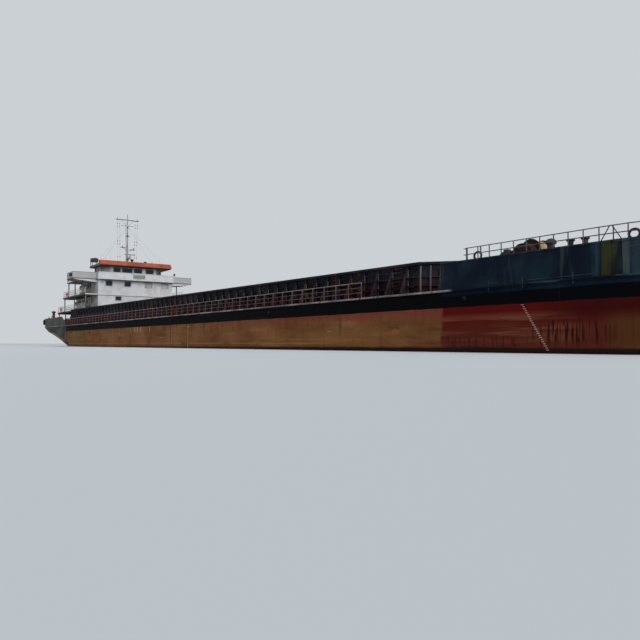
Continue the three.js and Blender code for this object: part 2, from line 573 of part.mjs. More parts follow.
// Front windows. Columns: centre Y, width.
const WHEELHOUSE_FRONT = [[-2.85, 1.2], [-1.15, 1.8], [0.67, 1.45], [2.7, 1.4]];
const wheelhouseWindows = WHEELHOUSE_FRONT.map(([y, width]) => block([WHEELHOUSE.fore - 0.5, WHEELHOUSE.fore + 0.5],
  [y - width / 2, y + width / 2], [WHEELHOUSE.sill, WHEELHOUSE.head]));
for (const hand of [-1, 1]) {
  const x = WHEELHOUSE.fore - WHEELHOUSE.chamfer / 2;
  const y = hand * (WHEELHOUSE.half - WHEELHOUSE.chamfer / 2);
  const reach = 0.45;
  const width = 0.74;
  const out = [Math.SQRT1_2, hand * Math.SQRT1_2];
  const along = [Math.SQRT1_2, -hand * Math.SQRT1_2];
  const at = (a, b) => [x + a * along[0] + b * out[0], y + a * along[1] + b * out[1]];
  wheelhouseWindows.push(prismZ([at(-width, -reach), at(width, -reach), at(width, reach), at(-width, reach)],
    WHEELHOUSE.sill, WHEELHOUSE.head));
}
wheelhouseWindows.push(block([-41.1, -39.95], [-FAR, FAR], [WHEELHOUSE.sill, WHEELHOUSE.head]));
for (const y of [-3.2, 0, 3.2]) {
  wheelhouseWindows.push(block([WHEELHOUSE.aft - 0.5, WHEELHOUSE.aft + 0.5], [y - 0.8, y + 0.8],
    [WHEELHOUSE.sill, WHEELHOUSE.head]));
}
const wheelhouseDoors = [-1, 1].map((hand) => doorway(DOORS[1], hand));
piece('wheelhouse', cut(
  prismZ(wheelhouseOutline(0), BRIDGE.top + GAP, WHEELHOUSE.top - GAP),
  prismZ(wheelhouseOutline(0.12), 0, FAR),
  ...wheelhouseWindows, ...wheelhouseDoors,
), WHITE);

// Doors hang outside their walls, each on a barrel against the wall.
for (const door of DOORS) {
  const [name, , hinge, way, wallY, foot] = door;
  for (const [side, hand] of SIDES) {
    const axisY = hand * (wallY + DOOR.barrel + GAP);
    const inner = hand * (wallY + RUNNING);
    const z0 = foot + DOOR.sill - 0.05;
    const z1 = z0 + DOOR.height + 0.1;
    const leaf = block([hinge, hinge + way * DOOR.width], [inner, inner + hand * DOOR.leaf], [z0, z1]);
    const barrels = [0.2, 1.45].map((up) => bar([hinge, axisY, z0 + up], [hinge, axisY, z0 + up + 0.3],
      DOOR.barrel, 12));
    piece(`door_${name}_${side}`, join(leaf, ...barrels), WHITE);
  }
}

// Roof, its sloped orange visor, and the locker on it.
piece('roof', block([ROOF.aft, ROOF.fore], [-ROOF.half, ROOF.half], [WHEELHOUSE.top, WHEELHOUSE.top + ROOF.thick]),
  WHITE);
const visorFoot = WHEELHOUSE.top + 0.08;
piece('roof_visor', prismY([
  [ROOF.fore + GAP, visorFoot], [ROOF.fore + ROOF.visorReach, visorFoot], [ROOF.fore + 0.05, ROOF.visorTop],
  [ROOF.fore - ROOF.visorDepth, ROOF.visorTop], [ROOF.fore - ROOF.visorDepth, WHEELHOUSE.top + ROOF.thick + GAP],
  [ROOF.fore + GAP, WHEELHOUSE.top + ROOF.thick + GAP],
], -ROOF.half, ROOF.half), ORANGE);
const ROOF_TOP = WHEELHOUSE.top + ROOF.thick + GAP;
const LOCKER = { aft: -41.7, fore: -40.7, y: [-5.95, -4.95], foot: 0.52, top: 1.35, leg: 0.08 };
const lockerLegs = [LOCKER.aft + LOCKER.leg, LOCKER.fore - LOCKER.leg].flatMap((x) => (
  LOCKER.y.map((y, k) => block([x - LOCKER.leg, x + LOCKER.leg],
    [y - k * 2 * LOCKER.leg, y - k * 2 * LOCKER.leg + 2 * LOCKER.leg], [ROOF_TOP, ROOF_TOP + LOCKER.foot + 0.1]))));
piece('roof_locker', join(block([LOCKER.aft - 0.02, LOCKER.fore + 0.02], [LOCKER.y[0] - 0.02, LOCKER.y[1] + 0.02],
  [ROOF_TOP + LOCKER.foot, ROOF_TOP + LOCKER.top]), ...lockerLegs), DARK);

// Mast with yard, and the radar that turns in front of it.
const MAST = { x: -40.9, top: 24.2, tip: 24.76, yard: 23.7, yardHalf: 2, radius: 0.13 };
const RADAR = { x: -39.5, z: 17.6, half: 0.95 };
const mastFoot = ROOF_TOP;
piece('mast', join(
  bar([MAST.x, 0, mastFoot], [MAST.x, 0, MAST.top], 0.17, 10, 0.08),
  bar([MAST.x, 0, MAST.top - 0.1], [MAST.x, 0, MAST.tip], 0.04, 6),
  bar([MAST.x, -MAST.yardHalf, MAST.yard], [MAST.x, MAST.yardHalf, MAST.yard], 0.06, 8),
  block([MAST.x - 0.3, MAST.x + 0.3], [-0.3, 0.3], [mastFoot, mastFoot + 0.1]),
  block([MAST.x, RADAR.x + 0.25], [-0.2, 0.2], [RADAR.z - 0.62, RADAR.z - 0.52]),
  bar([RADAR.x, 0, RADAR.z - 0.6], [RADAR.x, 0, RADAR.z - 0.16 - GAP], 0.14, 12),
  block([MAST.x - 0.2, MAST.x + 0.2], [-0.55, 0.55], [18.9, 19]),
), RAIL);
piece('radar_scanner', join(
  block([RADAR.x - 0.09, RADAR.x + 0.09], [-RADAR.half, RADAR.half], [RADAR.z - 0.08, RADAR.z + 0.08]),
  bar([RADAR.x, 0, RADAR.z - 0.16], [RADAR.x, 0, RADAR.z], 0.12, 12),
), WHITE);

// Guard rails of the upper decks.
function deckRail({ top, aft, fore, half }, pitch) {
  const y = half - 0.08;
  const line = [[fore - 0.1, -y], [aft + 0.1, -y], [aft + 0.1, y], [fore - 0.1, y]];
  return railing(line, top + GAP, DECK_RAIL, pitch);
}
piece('rail_deck_2', deckRail(DECK_2, 3.4), RAIL);
piece('rail_deck_3', deckRail(DECK_3, 3.4), RAIL);

// Stairs: two strings and their treads, up the starboard and port sides.
// Columns: name, foot X, head X, Y, foot, head.
const STAIRS = [
  ['lower', -53.9, -53.06, 3.2, DEPTH, DECK_2.top],
  ['middle', -51.6, -50.06, 3.2, DECK_2.top, DECK_3.top],
];
for (const [name, footX, headX, y, foot, head] of STAIRS) {
  const steps = 9;
  const half = 0.4;
  const parts = [-1, 1].map((end) => prismY([[footX - 0.2, foot + GAP], [footX + 0.1, foot + GAP],
    [headX - GAP, head - 0.35], [headX - GAP, head]], y + end * half, y + end * (half - 0.05)));
  for (let k = 1; k <= steps; k += 1) {
    const t = k / (steps + 1);
    const x = footX + t * (headX - footX);
    const z = foot + t * (head - foot);
    parts.push(block([x - 0.12, x + 0.12], [y - half + 0.02, y + half - 0.02], [z - 0.04, z]));
  }
  piece(`stairs_${name}`, join(...parts), RAIL);
}

// Funnels behind the wheelhouse.
for (const [side, hand] of SIDES) {
  const y = hand * 3.2;
  const foot = BRIDGE.top + GAP;
  const outline = (grow) => [[-46 - grow, foot], [-44.2 + grow, foot], [-44.5 + grow, 15], [-46 - grow, 15]];
  const shell = prismY(outline(0), y - 0.7, y + 0.7);
  const pipe = bar([-45.3, y, 14.6], [-45.5, y, 15.35], 0.2, 10);
  piece(`funnel_${side}`, join(shell, pipe), WHITE);
}

// Engines, propellers and rudders.
for (const [side, hand] of SIDES) {
  const y = hand * ENGINE.y;
  const foot = ENGINE_ROOM.floor + GAP;
  piece(`engine_${side}`, block([ENGINE.aft, ENGINE.fore], [y - ENGINE.half, y + ENGINE.half],
    [foot, foot + ENGINE.height]), DARK);

  const shaftY = hand * SHAFT.y;
  const hubFore = SHAFT.skegAft - 0.006;
  const hub = bar([hubFore, shaftY, SHAFT.z], [hubFore - PROPELLER.length, shaftY, SHAFT.z], PROPELLER.hub, 12, 0.14);
  const blades = [];
  for (let k = 0; k < PROPELLER.blades; k += 1) {
    const blade = new THREE.BoxGeometry(0.07, 0.52, PROPELLER.radius - 0.1);
    blade.translate(0, 0, (PROPELLER.radius + 0.1) / 2);
    blade.rotateZ(hand * 0.9);
    blade.rotateX((k / PROPELLER.blades) * 2 * Math.PI);
    blade.translate(hubFore - 0.36, shaftY, SHAFT.z);
    blades.push(solid(blade));
  }
  piece(`propeller_${side}`, join(hub, ...blades), BRONZE);

  const { x, fore, aft, bottom, top, thick, stock } = RUDDER;
  const section = [[x + fore, shaftY], [x + fore * 0.5, shaftY + thick / 2], [x - aft, shaftY + 0.02],
    [x - aft, shaftY - 0.02], [x + fore * 0.5, shaftY - thick / 2]];
  const rudderStock = bar([x, shaftY, top - 0.2], [x, shaftY, top + 0.16 - GAP], stock, 12);
  piece(`rudder_${side}`, join(prismZ(section, bottom, top), rudderStock), BOTTOM);
}

export default ship;
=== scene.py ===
import math

import bmesh
import bpy
from mathutils import Matrix, Vector


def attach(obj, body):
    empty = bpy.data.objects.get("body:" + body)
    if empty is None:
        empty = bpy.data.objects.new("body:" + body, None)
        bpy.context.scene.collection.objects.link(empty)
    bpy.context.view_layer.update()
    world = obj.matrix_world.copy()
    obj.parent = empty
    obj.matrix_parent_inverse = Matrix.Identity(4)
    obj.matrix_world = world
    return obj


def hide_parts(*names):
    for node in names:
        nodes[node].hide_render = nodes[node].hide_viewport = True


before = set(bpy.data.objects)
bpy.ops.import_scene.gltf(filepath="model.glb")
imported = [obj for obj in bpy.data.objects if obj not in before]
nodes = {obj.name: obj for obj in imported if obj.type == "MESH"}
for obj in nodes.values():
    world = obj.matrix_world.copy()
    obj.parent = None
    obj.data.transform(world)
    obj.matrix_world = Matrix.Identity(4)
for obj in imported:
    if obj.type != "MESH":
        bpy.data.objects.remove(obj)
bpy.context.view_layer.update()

# The view: the ship lies afloat, seen close off her starboard bow by an eye near the water. The plain
# floor stands at her light waterline, round the hull and not in the hold, under a pale overcast sky.
WATERLINE = 0.196
EYE = Vector((6.82, -3.60, 0.244))
HEADING, UPWARD = math.radians(35.1), math.radians(2.1)
LENS_MM = 36.0
FLOOR_HALF = 300.0
FLOOR_HOLE = ((-3.4, -0.93), (4.28, -0.93), (4.28, 0.93), (-3.4, 0.93))


def linked(name, data):
    """A new object in the scene."""
    thing = bpy.data.objects.new(name, data)
    bpy.context.scene.collection.objects.link(thing)
    return thing


view_data = bpy.data.cameras.new("view")
view_data.lens = view_data.sensor_width = LENS_MM
view_data.clip_start, view_data.clip_end = 0.05, 1000.0
camera = linked("view", view_data)
camera.location = EYE
ahead = Vector((-math.cos(HEADING) * math.cos(UPWARD), math.sin(HEADING) * math.cos(UPWARD),
                math.sin(UPWARD)))
camera.rotation_euler = ahead.to_track_quat("-Z", "Y").to_euler()
bpy.context.scene.camera = camera
bpy.context.scene.view_settings.view_transform = "Standard"


def rgb(*colour):
    """A colour as the eye names it, 0 to 255, in the linear values that shaders use."""
    return (*(v / 3294.6 if v <= 10.31 else ((v / 255 + 0.055) / 1.055) ** 2.4 for v in colour), 1.0)


class NodeTree:
    """Adds nodes to a tree, with their settings, and joins or sets their sockets by name or number."""

    def add(self, kind, settings=None, **sockets):
        node = self.tree.nodes.new(kind)
        for key, value in (settings or {}).items():
            setattr(node, key, value)
        for key, value in sockets.items():
            self.feed(node.inputs[int(key[1:])]
                      if key[0] == "_" else node.inputs[key.replace("_", " ")], value)
        return node

    def feed(self, socket, value):
        if isinstance(value, bpy.types.NodeSocket):
            self.tree.links.new(value, socket)
        else:
            socket.default_value = value

    def math(self, operation, a, b=0.0):
        return self.add("ShaderNodeMath", {"operation": operation}, _0=a, _1=b).outputs[0]


class Finish(NodeTree):
    """One finish of the ship. Its patterns are laid out in the real ship's metres."""

    def __init__(self, name, colour, roughness=0.5, metallic=0.0, shine=0.06):
        self.material = bpy.data.materials.new(name)
        self.material.use_nodes = True
        self.tree = self.material.node_tree
        self.shader = self.tree.nodes["Principled BSDF"].inputs
        for socket, value in (("Base Color", rgb(*colour)), ("Roughness", roughness), ("Metallic", metallic),
                              ("Specular IOR Level", shine)):
            self.shader[socket].default_value = value
        model = self.add("ShaderNodeTexCoord").outputs["Object"]
        self.place = self.add("ShaderNodeVectorMath", {"operation": "SCALE"}, _0=model,
                              Scale=10.0).outputs[0]
        self.x, self.y, self.z = self.add("ShaderNodeSeparateXYZ", Vector=self.place).outputs
        self.relief = None

    def noise(self, scale, stretch=(1, 1, 1), detail=5.0, rough=0.6, shift=0.0):
        """Noise from 0 to 1, scale features a metre, drawn out along an axis where stretch is below 1."""
        at = self.add("ShaderNodeMapping", Vector=self.place, Scale=stretch,
                      Location=(shift, shift * 0.7, shift * 0.3))
        return self.add("ShaderNodeTexNoise", Vector=at.outputs[0], Scale=scale, Detail=detail,
                        Roughness=rough).outputs[0]

    def ramp(self, value, low, high):
        """0 at low and 1 at high, in a smooth step. Low may be the larger."""
        return self.add("ShaderNodeMapRange", {"interpolation_type": "SMOOTHSTEP"}, Value=value,
                        From_Min=low, From_Max=high).outputs[0]

    def both(self, *masks):
        whole = masks[0]
        for mask in masks[1:]:
            whole = self.math("MULTIPLY", whole, mask)
        return whole

    def band(self, value, start, full, fading, end):
        """1 between full and fading, and 0 outside start and end."""
        return self.both(self.ramp(value, start, full), self.ramp(value, end, fading))

    def mask(self, item):
        """A pattern as it is, or else the ramp or band with the values in a tuple."""
        if isinstance(item, bpy.types.NodeSocket):
            return item
        return self.band(*item) if len(item) == 5 else self.ramp(*item)

    def coats(self, under, *layers):
        """Colours laid over each other. A layer is a colour, its share if it isn't whole, and masks that all
        bound it."""
        for colour, *masks in layers:
            share = masks.pop(0) if isinstance(masks[0], float) else 1
            amount = self.both(*(self.mask(m) for m in masks))
            if share != 1:
                amount = self.math("MULTIPLY", amount, share)
            under, colour = (c if isinstance(c, bpy.types.NodeSocket) else rgb(*c) for c in (under, colour))
            node = self.add("ShaderNodeMix", {"data_type": "RGBA"}, _0=amount, _6=under, _7=colour)
            under = node.outputs[2]
        return under

    def wavering(self, axis, amount, scale):
        """A coordinate that wavers, so that an edge along it looks laid by hand."""
        drift = self.math("SUBTRACT", self.noise(scale, detail=3.0, shift=3.0), 0.5)
        return self.math("ADD", axis, self.math("MULTIPLY", drift, amount))

    def seams(self, axis, pitch, half, shift=0.0):
        """1 on thin lines that cross an axis at an even pitch."""
        swing = self.math("PINGPONG", self.math("ADD", axis, shift), pitch / 2)
        return self.ramp(swing, half, half * 0.4)

    def bump(self, value, depth, strength=1.0):
        """Adds relief to any that the finish already has."""
        node = self.add("ShaderNodeBump", Height=value, Distance=depth / 10, Strength=strength)
        if self.relief is not None:
            self.feed(node.inputs["Normal"], self.relief)
        self.relief = node.outputs[0]

    def done(self, colour, gloss=None, low=0.0, high=1.0):
        """The material, with its colour and relief, and roughness from low to high by the gloss pattern."""
        self.feed(self.shader["Base Color"], colour)
        if gloss is not None:
            spread = self.add("ShaderNodeMapRange", Value=gloss, To_Min=low, To_Max=high).outputs[0]
            self.feed(self.shader["Roughness"], spread)
        if self.relief is not None:
            self.feed(self.shader["Normal"], self.relief)
        return self.material


def weathered(name, fresh, faded, rust=None, rust_share=0.5, roughness=0.55, metallic=0.0):
    """Brushed paint on steel that has faded in patches, with rust in spots and in runs down its faces."""
    f = Finish(name, fresh, roughness, metallic)
    patch = f.noise(0.55, detail=6, rough=0.62, shift=5)
    fine = f.noise(5.5, detail=8, rough=0.68)
    coat = f.coats(fresh, (faded, (patch, 0.36, 0.66)))
    if rust:
        drips = f.noise(3.2, (1, 1, 0.1), 6, 0.62, 2)
        spots = f.math("ADD", fine, f.math("MULTIPLY", patch, 0.3))
        coat = f.coats(coat, (rust, 0.6, (drips, 0.53, 0.70), (patch, 0.38, 0.6)),
                       (rust, (spots, 0.94 - 0.22 * rust_share, 0.99 - 0.2 * rust_share)))
    f.bump(fine, 0.012, 0.4)
    return f.done(coat, fine, roughness - 0.12, roughness + 0.2)


floor_mesh = bpy.data.meshes.new("floor")
corners = [(FLOOR_HALF * x, FLOOR_HALF * y) for x, y in ((-1, -1), (1, -1), (1, 1), (-1, 1))]
floor_mesh.from_pydata([(x, y, WATERLINE) for x, y in (*corners, *FLOOR_HOLE)], [],
                       [(k, (k + 1) % 4, 4 + (k + 1) % 4, 4 + k) for k in range(4)])
floor_mesh.materials.append(Finish("studio floor", (192, 196, 199), 0.9).material)
floor = linked("floor", floor_mesh)

world = bpy.data.worlds.new("overcast studio")
world.use_nodes = True
world.node_tree.nodes["Background"].inputs["Color"].default_value = rgb(206, 211, 215)
world.node_tree.nodes["Background"].inputs["Strength"].default_value = 0.97
bpy.context.scene.world = world


def lamp(name, kind, place, way, **settings):
    """A light that shines along a way."""
    light = bpy.data.lights.new(name, kind)
    for key, value in settings.items():
        setattr(light, key, value)
    holder = linked(name, light)
    holder.location = place
    holder.rotation_euler = Vector(way).to_track_quat("-Z", "Y").to_euler()


lamp("overhead softbox", "AREA", (-2.0, -3.0, 14.0), (2.0, 3.0, -13.5), shape="DISK", size=14.0,
     energy=420.0)
lamp("veiled sun", "SUN", (0, 0, 0), (-0.93, 0.1, -0.34), energy=2.2, angle=math.radians(35))

# The hull: bow and stern blocks, side tanks and the double bottom, of welded steel plate. Worn bottom
# paint, black topside strake, fresh red forward, oxide deck and a scraped hold, one coat over all.
# Sizes and places are the real ship's, in metres, and a finished piece is brought to 1:10.
SHIP_METRE = 0.1
HANDS = (-1, 1)
SIDES = (("starboard", -1), ("port", 1))
SIDE = 10.0
FLAT_SIDE = 9.95
DECK = 5.4
STRAKE_FOOT = 4.4
BLUE_FOOT = 5.0
RED_AFT = 43.0
GREEN_AFT = -40.5
HOLD = {"half": 8.7, "aft": -33.0, "fore": 42.2, "floor": 1.2}
PLATE_PITCH, STRIP_PITCH = 8.4, 2.2
FRAME_PITCH = 0.7


def lay_hull_paint():
    f = Finish("hull paint", (106, 70, 47), 0.6, shine=0.03)
    x, z, ramp, band, noise, wavering = f.x, f.z, f.ramp, f.band, f.noise, f.wavering
    fine = noise(3.4, detail=8, rough=0.7)
    patch = noise(0.22, (0.7, 1, 1.6), 6, 0.62, 5)
    drawn = noise(0.7, (0.14, 0.14, 2.2), 7, shift=11)
    runs = noise(2.6, (1, 1, 0.09), 6, 0.62, 2)
    # Bottom paint aft: faded brown with olive growth, darker runs and old scrapes along the plate.
    scraped = noise(1.3, (0.14, 0.14, 1.7), 8, 0.7, 17)
    spots = noise(0.9, (0.6, 0.6, 1.2), 8, 0.7, 21)
    nicks = noise(2.0, (0.22, 0.22, 2.4), 4, shift=23)
    scuffs = ramp(noise(1.9, (1, 1, 0.04), 4, shift=9), 0.53, 0.6)
    brown = f.coats(
        (100, 64, 36),
        ((126, 86, 52), (patch, 0.35, 0.66)),
        ((108, 76, 44), (drawn, 0.5, 0.72)),
        ((138, 96, 58), 0.55, (scraped, 0.53, 0.64), (patch, 0.36, 0.56)),
        ((78, 44, 28), 0.5, (scraped, 0.46, 0.36), (patch, 0.6, 0.4)),
        ((84, 50, 36), (runs, 0.55, 0.74), (patch, 0.4, 0.6)),
        ((72, 42, 30), 0.6, (spots, 0.58, 0.68)),
        ((160, 122, 92), 0.7, (nicks, 0.68, 0.72)),
        ((76, 40, 30), 0.55, (runs, 0.5, 0.62), (wavering(z, 1.8, 0.8), 3.4, 4.3)),
        ((172, 138, 128), 0.75, scuffs, (x, -9.4, -8.8, -2.8, -2.2), (wavering(z, 0.3, 1.2), 3.7, 3.9)),
        ((104, 88, 52), (x, -26, -39), (noise(0.31, shift=8), 0.4, 0.6)),
        ((116, 52, 42), 0.75, (wavering(z, 0.9, 0.3), 3.6, 4.3), (x, 2, 36)))
    # Fresh red forward: crimson under the strake, brown where it has worn, dark scratches low down.
    scratch = noise(7.0, (1, 1, 0.07), 4, 0.5, 4)
    red = f.coats(
        (82, 34, 24),
        ((84, 14, 12), (wavering(z, 1.2, 0.5), 3.0, 4.0)),
        ((112, 66, 48), (drawn, 0.40, 0.56), (z, 2.3, 2.9, 3.6, 4.1), (x, 52.5, 49.5)),
        ((44, 16, 14), (scratch, 0.49, 0.56), (wavering(z, 1.4, 0.7), 3.7, 3.3), (z, 2.3, 2.7),
         (x, 48, 50)),
        ((56, 22, 18), 0.7, (scratch, 0.50, 0.58), (wavering(z, 0.5, 0.9), 2.85, 2.65)),
        ((46, 12, 13), 0.75, (x, 48, 52), (z, 3.3, 3.9)),
        ((78, 50, 24), 0.75, (wavering(x, 0.8, 0.6), 52.2, 53.4), (z, 4.0, 3.3)))
    # The orange rust and salt over the dark foot, which is the wet plate and painted shade where the hull
    # meets the water, the growth below the water, then the grey-green stern quarters with a pale painted
    # highlight along the rake's edge, over a maroon counter.
    rusty = f.both(ramp(wavering(z, 0.3, 0.6), 2.62, 2.22), ramp(noise(0.9, (0.3, 1, 1)), 0.4, 0.56),
                   f.math("SUBTRACT", 0.6, f.math("MULTIPLY", ramp(x, 42.5, 43.5), 0.4)))
    wet_and_shaded_foot_top = f.math("SUBTRACT", wavering(z, 0.12, 0.8), f.math("MULTIPLY", ramp(x, 0, 44), 0.09))
    green = f.coats((54, 58, 52), ((80, 80, 72), (patch, 0.4, 0.6)))
    rake = f.math("ADD", z, f.math("MULTIPLY", x, 0.19))
    bottom = f.coats(
        brown,
        (red, (wavering(x, 1.0, 0.3), RED_AFT - 0.12, RED_AFT + 0.12)),
        ((108, 56, 32), rusty),
        ((150, 112, 76), 0.5, (z, 2.4, 2.44, 2.48, 2.52), (noise(0.5, shift=13), 0.42, 0.5), (x, 34, 30)),
        # The dark band at the foot: the wet plate, and painted shade where the hull meets the water.
        ((30, 19, 14), (wet_and_shaded_foot_top, 2.22, 2.05)),
        ((84, 52, 40), (wavering(z, 0.2, 0.4), 1.85, 1.3)),
        ((92, 76, 64), 0.8, (wavering(x, 0.5, 0.6), GREEN_AFT + 0.1, GREEN_AFT - 0.2)),
        (green, (wavering(x, 0.5, 0.6), GREEN_AFT - 0.7, GREEN_AFT - 1.5),
         (wavering(z, 0.5, 0.3), 3.0, 3.6)),
        ((46, 34, 22), 0.7, (wavering(x, 0.3, 0.6), GREEN_AFT - 0.25, GREEN_AFT - 0.05), (x, -40.0, -40.25)),
        # Painted highlight: a pale line along the rake's edge.
        ((140, 118, 108), 0.6, (rake, -5.6, -5.5, -5.05, -4.95), (x, -41.5, -43.5), (z, 4.5, 4.2)),
        ((74, 36, 42), (x, -38.6, -39.4), (z, 2.9, 2.6), (rake, -4.4, -4.6)))
    # Black topside strake, scuffed grey along the plate, with the blue sheer strake forward of it.
    blue = f.coats((10, 20, 33), ((18, 34, 46), (patch, 0.4, 0.62)))
    strake = f.coats(
        (5, 6, 9),
        ((24, 28, 38), (drawn, 0.56, 0.78)),
        ((62, 40, 32), (fine, 0.58, 0.72), (patch, 0.5, 0.62)),
        (blue, (wavering(z, 0.1, 0.5), BLUE_FOOT, BLUE_FOOT + 0.06), (x, RED_AFT - 0.1, RED_AFT)),
        (green, (wavering(x, 0.4, 0.6), GREEN_AFT + 0.2, GREEN_AFT - 0.3)))
    # Oxide deck, and the hold with brown steel where grabs have scraped it.
    strips = f.seams(f.y, STRIP_PITCH, 0.03)
    joints = f.math("MAXIMUM", strips, f.seams(x, PLATE_PITCH, 0.03))
    deck = f.coats((86, 44, 38), ((112, 66, 54), (patch, 0.4, 0.62)), ((70, 54, 46), (fine, 0.55, 0.7)),
                   ((54, 34, 30), 0.55, joints))
    bright = ramp(noise(2, (0.16, 0.16, 1), 8, 0.7, 6), 0.52, 0.72)
    hold = f.coats((72, 54, 44), ((112, 84, 64), (patch, 0.38, 0.64)), ((122, 102, 84), 0.6, bright),
                   ((52, 36, 28), 0.4, joints), ((84, 42, 26), (runs, 0.58, 0.72)))
    inside = f.both(f.math("LESS_THAN", f.math("ABSOLUTE", f.y), HOLD["half"] + 0.01),
                    f.math("LESS_THAN", z, DECK - 0.01), f.math("GREATER_THAN", x, HOLD["aft"] - 0.01),
                    f.math("LESS_THAN", x, HOLD["fore"] + 0.02),
                    f.math("GREATER_THAN", z, HOLD["floor"] - 0.005))
    welds = f.math("MAXIMUM", f.seams(x, PLATE_PITCH, 0.022), f.seams(z, STRIP_PITCH, 0.016, shift=0.1))
    coat = f.coats(
        bottom,
        (strake, (wavering(z, 0.08, 1.0), STRAKE_FOOT - 0.02, STRAKE_FOOT + 0.02)),
        (deck, (z, DECK - 0.012, DECK - 0.004)),
        ((52, 32, 24), 0.3, welds, (z, DECK - 0.01, DECK - 0.05)),
        (hold, inside))
    # Butt welds stand proud, and the plate hollows slightly between its frames. The wet foot shines.
    f.bump(f.math("MAXIMUM", welds, strips), 0.009, 0.6)
    hollows = f.math("POWER", f.math("DIVIDE", f.math("PINGPONG", x, FRAME_PITCH), FRAME_PITCH), 2.0)
    f.bump(hollows, 0.016, 0.35)
    f.bump(fine, 0.012, 0.5)
    dull = f.math("ADD", f.math("MULTIPLY", fine, 0.5), 0.3)
    return f.done(coat, f.math("SUBTRACT", dull, f.math("MULTIPLY", ramp(z, 2.25, 2.05), 0.4)), 0.35, 0.95)


class Growth(NodeTree):
    """A Geometry Nodes tree with named inputs. It ends in real geometry in one finish."""

    def __init__(self, name, **inputs):
        self.tree = bpy.data.node_groups.new(name, "GeometryNodeTree")
        interface = self.tree.interface
        for label, kind in {"Base": "Geometry", **inputs, "Finish": "Material"}.items():
            interface.new_socket(label, in_out="INPUT", socket_type="NodeSocket" + kind)
        interface.new_socket("Geometry", in_out="OUTPUT", socket_type="NodeSocketGeometry")
        self.given = self.tree.nodes.new("NodeGroupInput").outputs

    def make(self, kind, settings=None, **sockets):
        """The first output of a new Geometry Nodes node."""
        return self.add("GeometryNode" + kind, settings, **sockets).outputs[0]

    def join(self, *parts):
        joined = self.add("GeometryNodeJoinGeometry")
        for part in parts:
            self.feed(joined.inputs[0], part)
        return joined.outputs[0]

    def ends(self, geometry):
        self.feed(self.tree.nodes.new("NodeGroupOutput").inputs[0], geometry)

    def close(self, geometry):
        real = self.make("RealizeInstances", Geometry=geometry)
        self.ends(self.make("SetMaterial", Geometry=real, Material=self.given["Finish"]))
        return self

    def grow(self, base, **values):
        """The plain mesh that the tree makes on a base mesh."""
        holder = linked("holder", base)
        modifier = holder.modifiers.new("growth", "NODES")
        modifier.node_group = self.tree
        for item in self.tree.interface.items_tree:
            if item.in_out == "INPUT" and item.name in values:
                modifier[item.identifier] = values[item.name]
        mesh = bpy.data.meshes.new_from_object(holder.evaluated_get(bpy.context.evaluated_depsgraph_get()))
        holder.modifiers.remove(modifier)
        bpy.data.objects.remove(holder)
        if not mesh.materials:
            mesh.materials.append(values["Finish"])
        return mesh


def rounding_tree():
    """Welds a frame node's loose faces and shades its gentle bends round, leaving its real corners sharp."""
    g = Growth("round shading")
    merged = g.make("MergeByDistance", Geometry=g.given["Base"], Distance=1e-5)
    bend = g.make("InputMeshEdgeAngle")
    corner = g.add("FunctionNodeCompare", {"operation": "GREATER_THAN"}, _0=bend,
                   _1=math.radians(28)).outputs[0]
    soft = g.make("SetShadeSmooth", {"domain": "FACE"}, Geometry=merged, Shade_Smooth=True)
    g.ends(g.make("SetShadeSmooth", {"domain": "EDGE"}, Geometry=soft, Selection=corner, Shade_Smooth=False))
    return g.tree


ROUND_SHADING = rounding_tree()


def wear(material, *names):
    """Gives nodes of the frame their finish and even shading."""
    for name in names:
        node = nodes[name]
        node.data.materials.clear()
        node.data.materials.append(material)
        node.modifiers.new("round shading", "NODES").node_group = ROUND_SHADING
        node.modifiers.new("even faces", "WEIGHTED_NORMAL").keep_sharp = True


def fit(name, mesh, body="ship", slot=None, replaces=(), bevel=0.0, angle=34):
    """Brings a piece's mesh to 1:10, eases its edges and hangs it on the body that it moves with."""
    mesh.transform(Matrix.Scale(SHIP_METRE, 4))
    mesh.shade_smooth()
    mesh.set_sharp_from_angle(angle=math.radians(angle))
    piece = linked(name, mesh)
    if bevel:
        eased = piece.modifiers.new("eased edges", "BEVEL")
        eased.width, eased.segments = bevel * SHIP_METRE, 1
        eased.limit_method, eased.angle_limit = "ANGLE", math.radians(40)
    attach(piece, body)
    if replaces:
        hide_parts(*replaces)


def circle(count=24):
    """The angles of points evenly round a circle."""
    return [2 * math.pi * k / count for k in range(count)]


def hoop(x, y, z, radius, angles, lying=False):
    """Points round a centre, on a hoop that stands along X or lies level."""
    if lying:
        return [(x + radius * math.cos(a), y + radius * math.sin(a), z) for a in angles]
    return [(x + radius * math.cos(a), y, z + radius * math.sin(a)) for a in angles]


def span(hand, *ys):
    """Two places across the ship, on the side that hand says, the lower first."""
    return sorted(hand * y for y in ys)


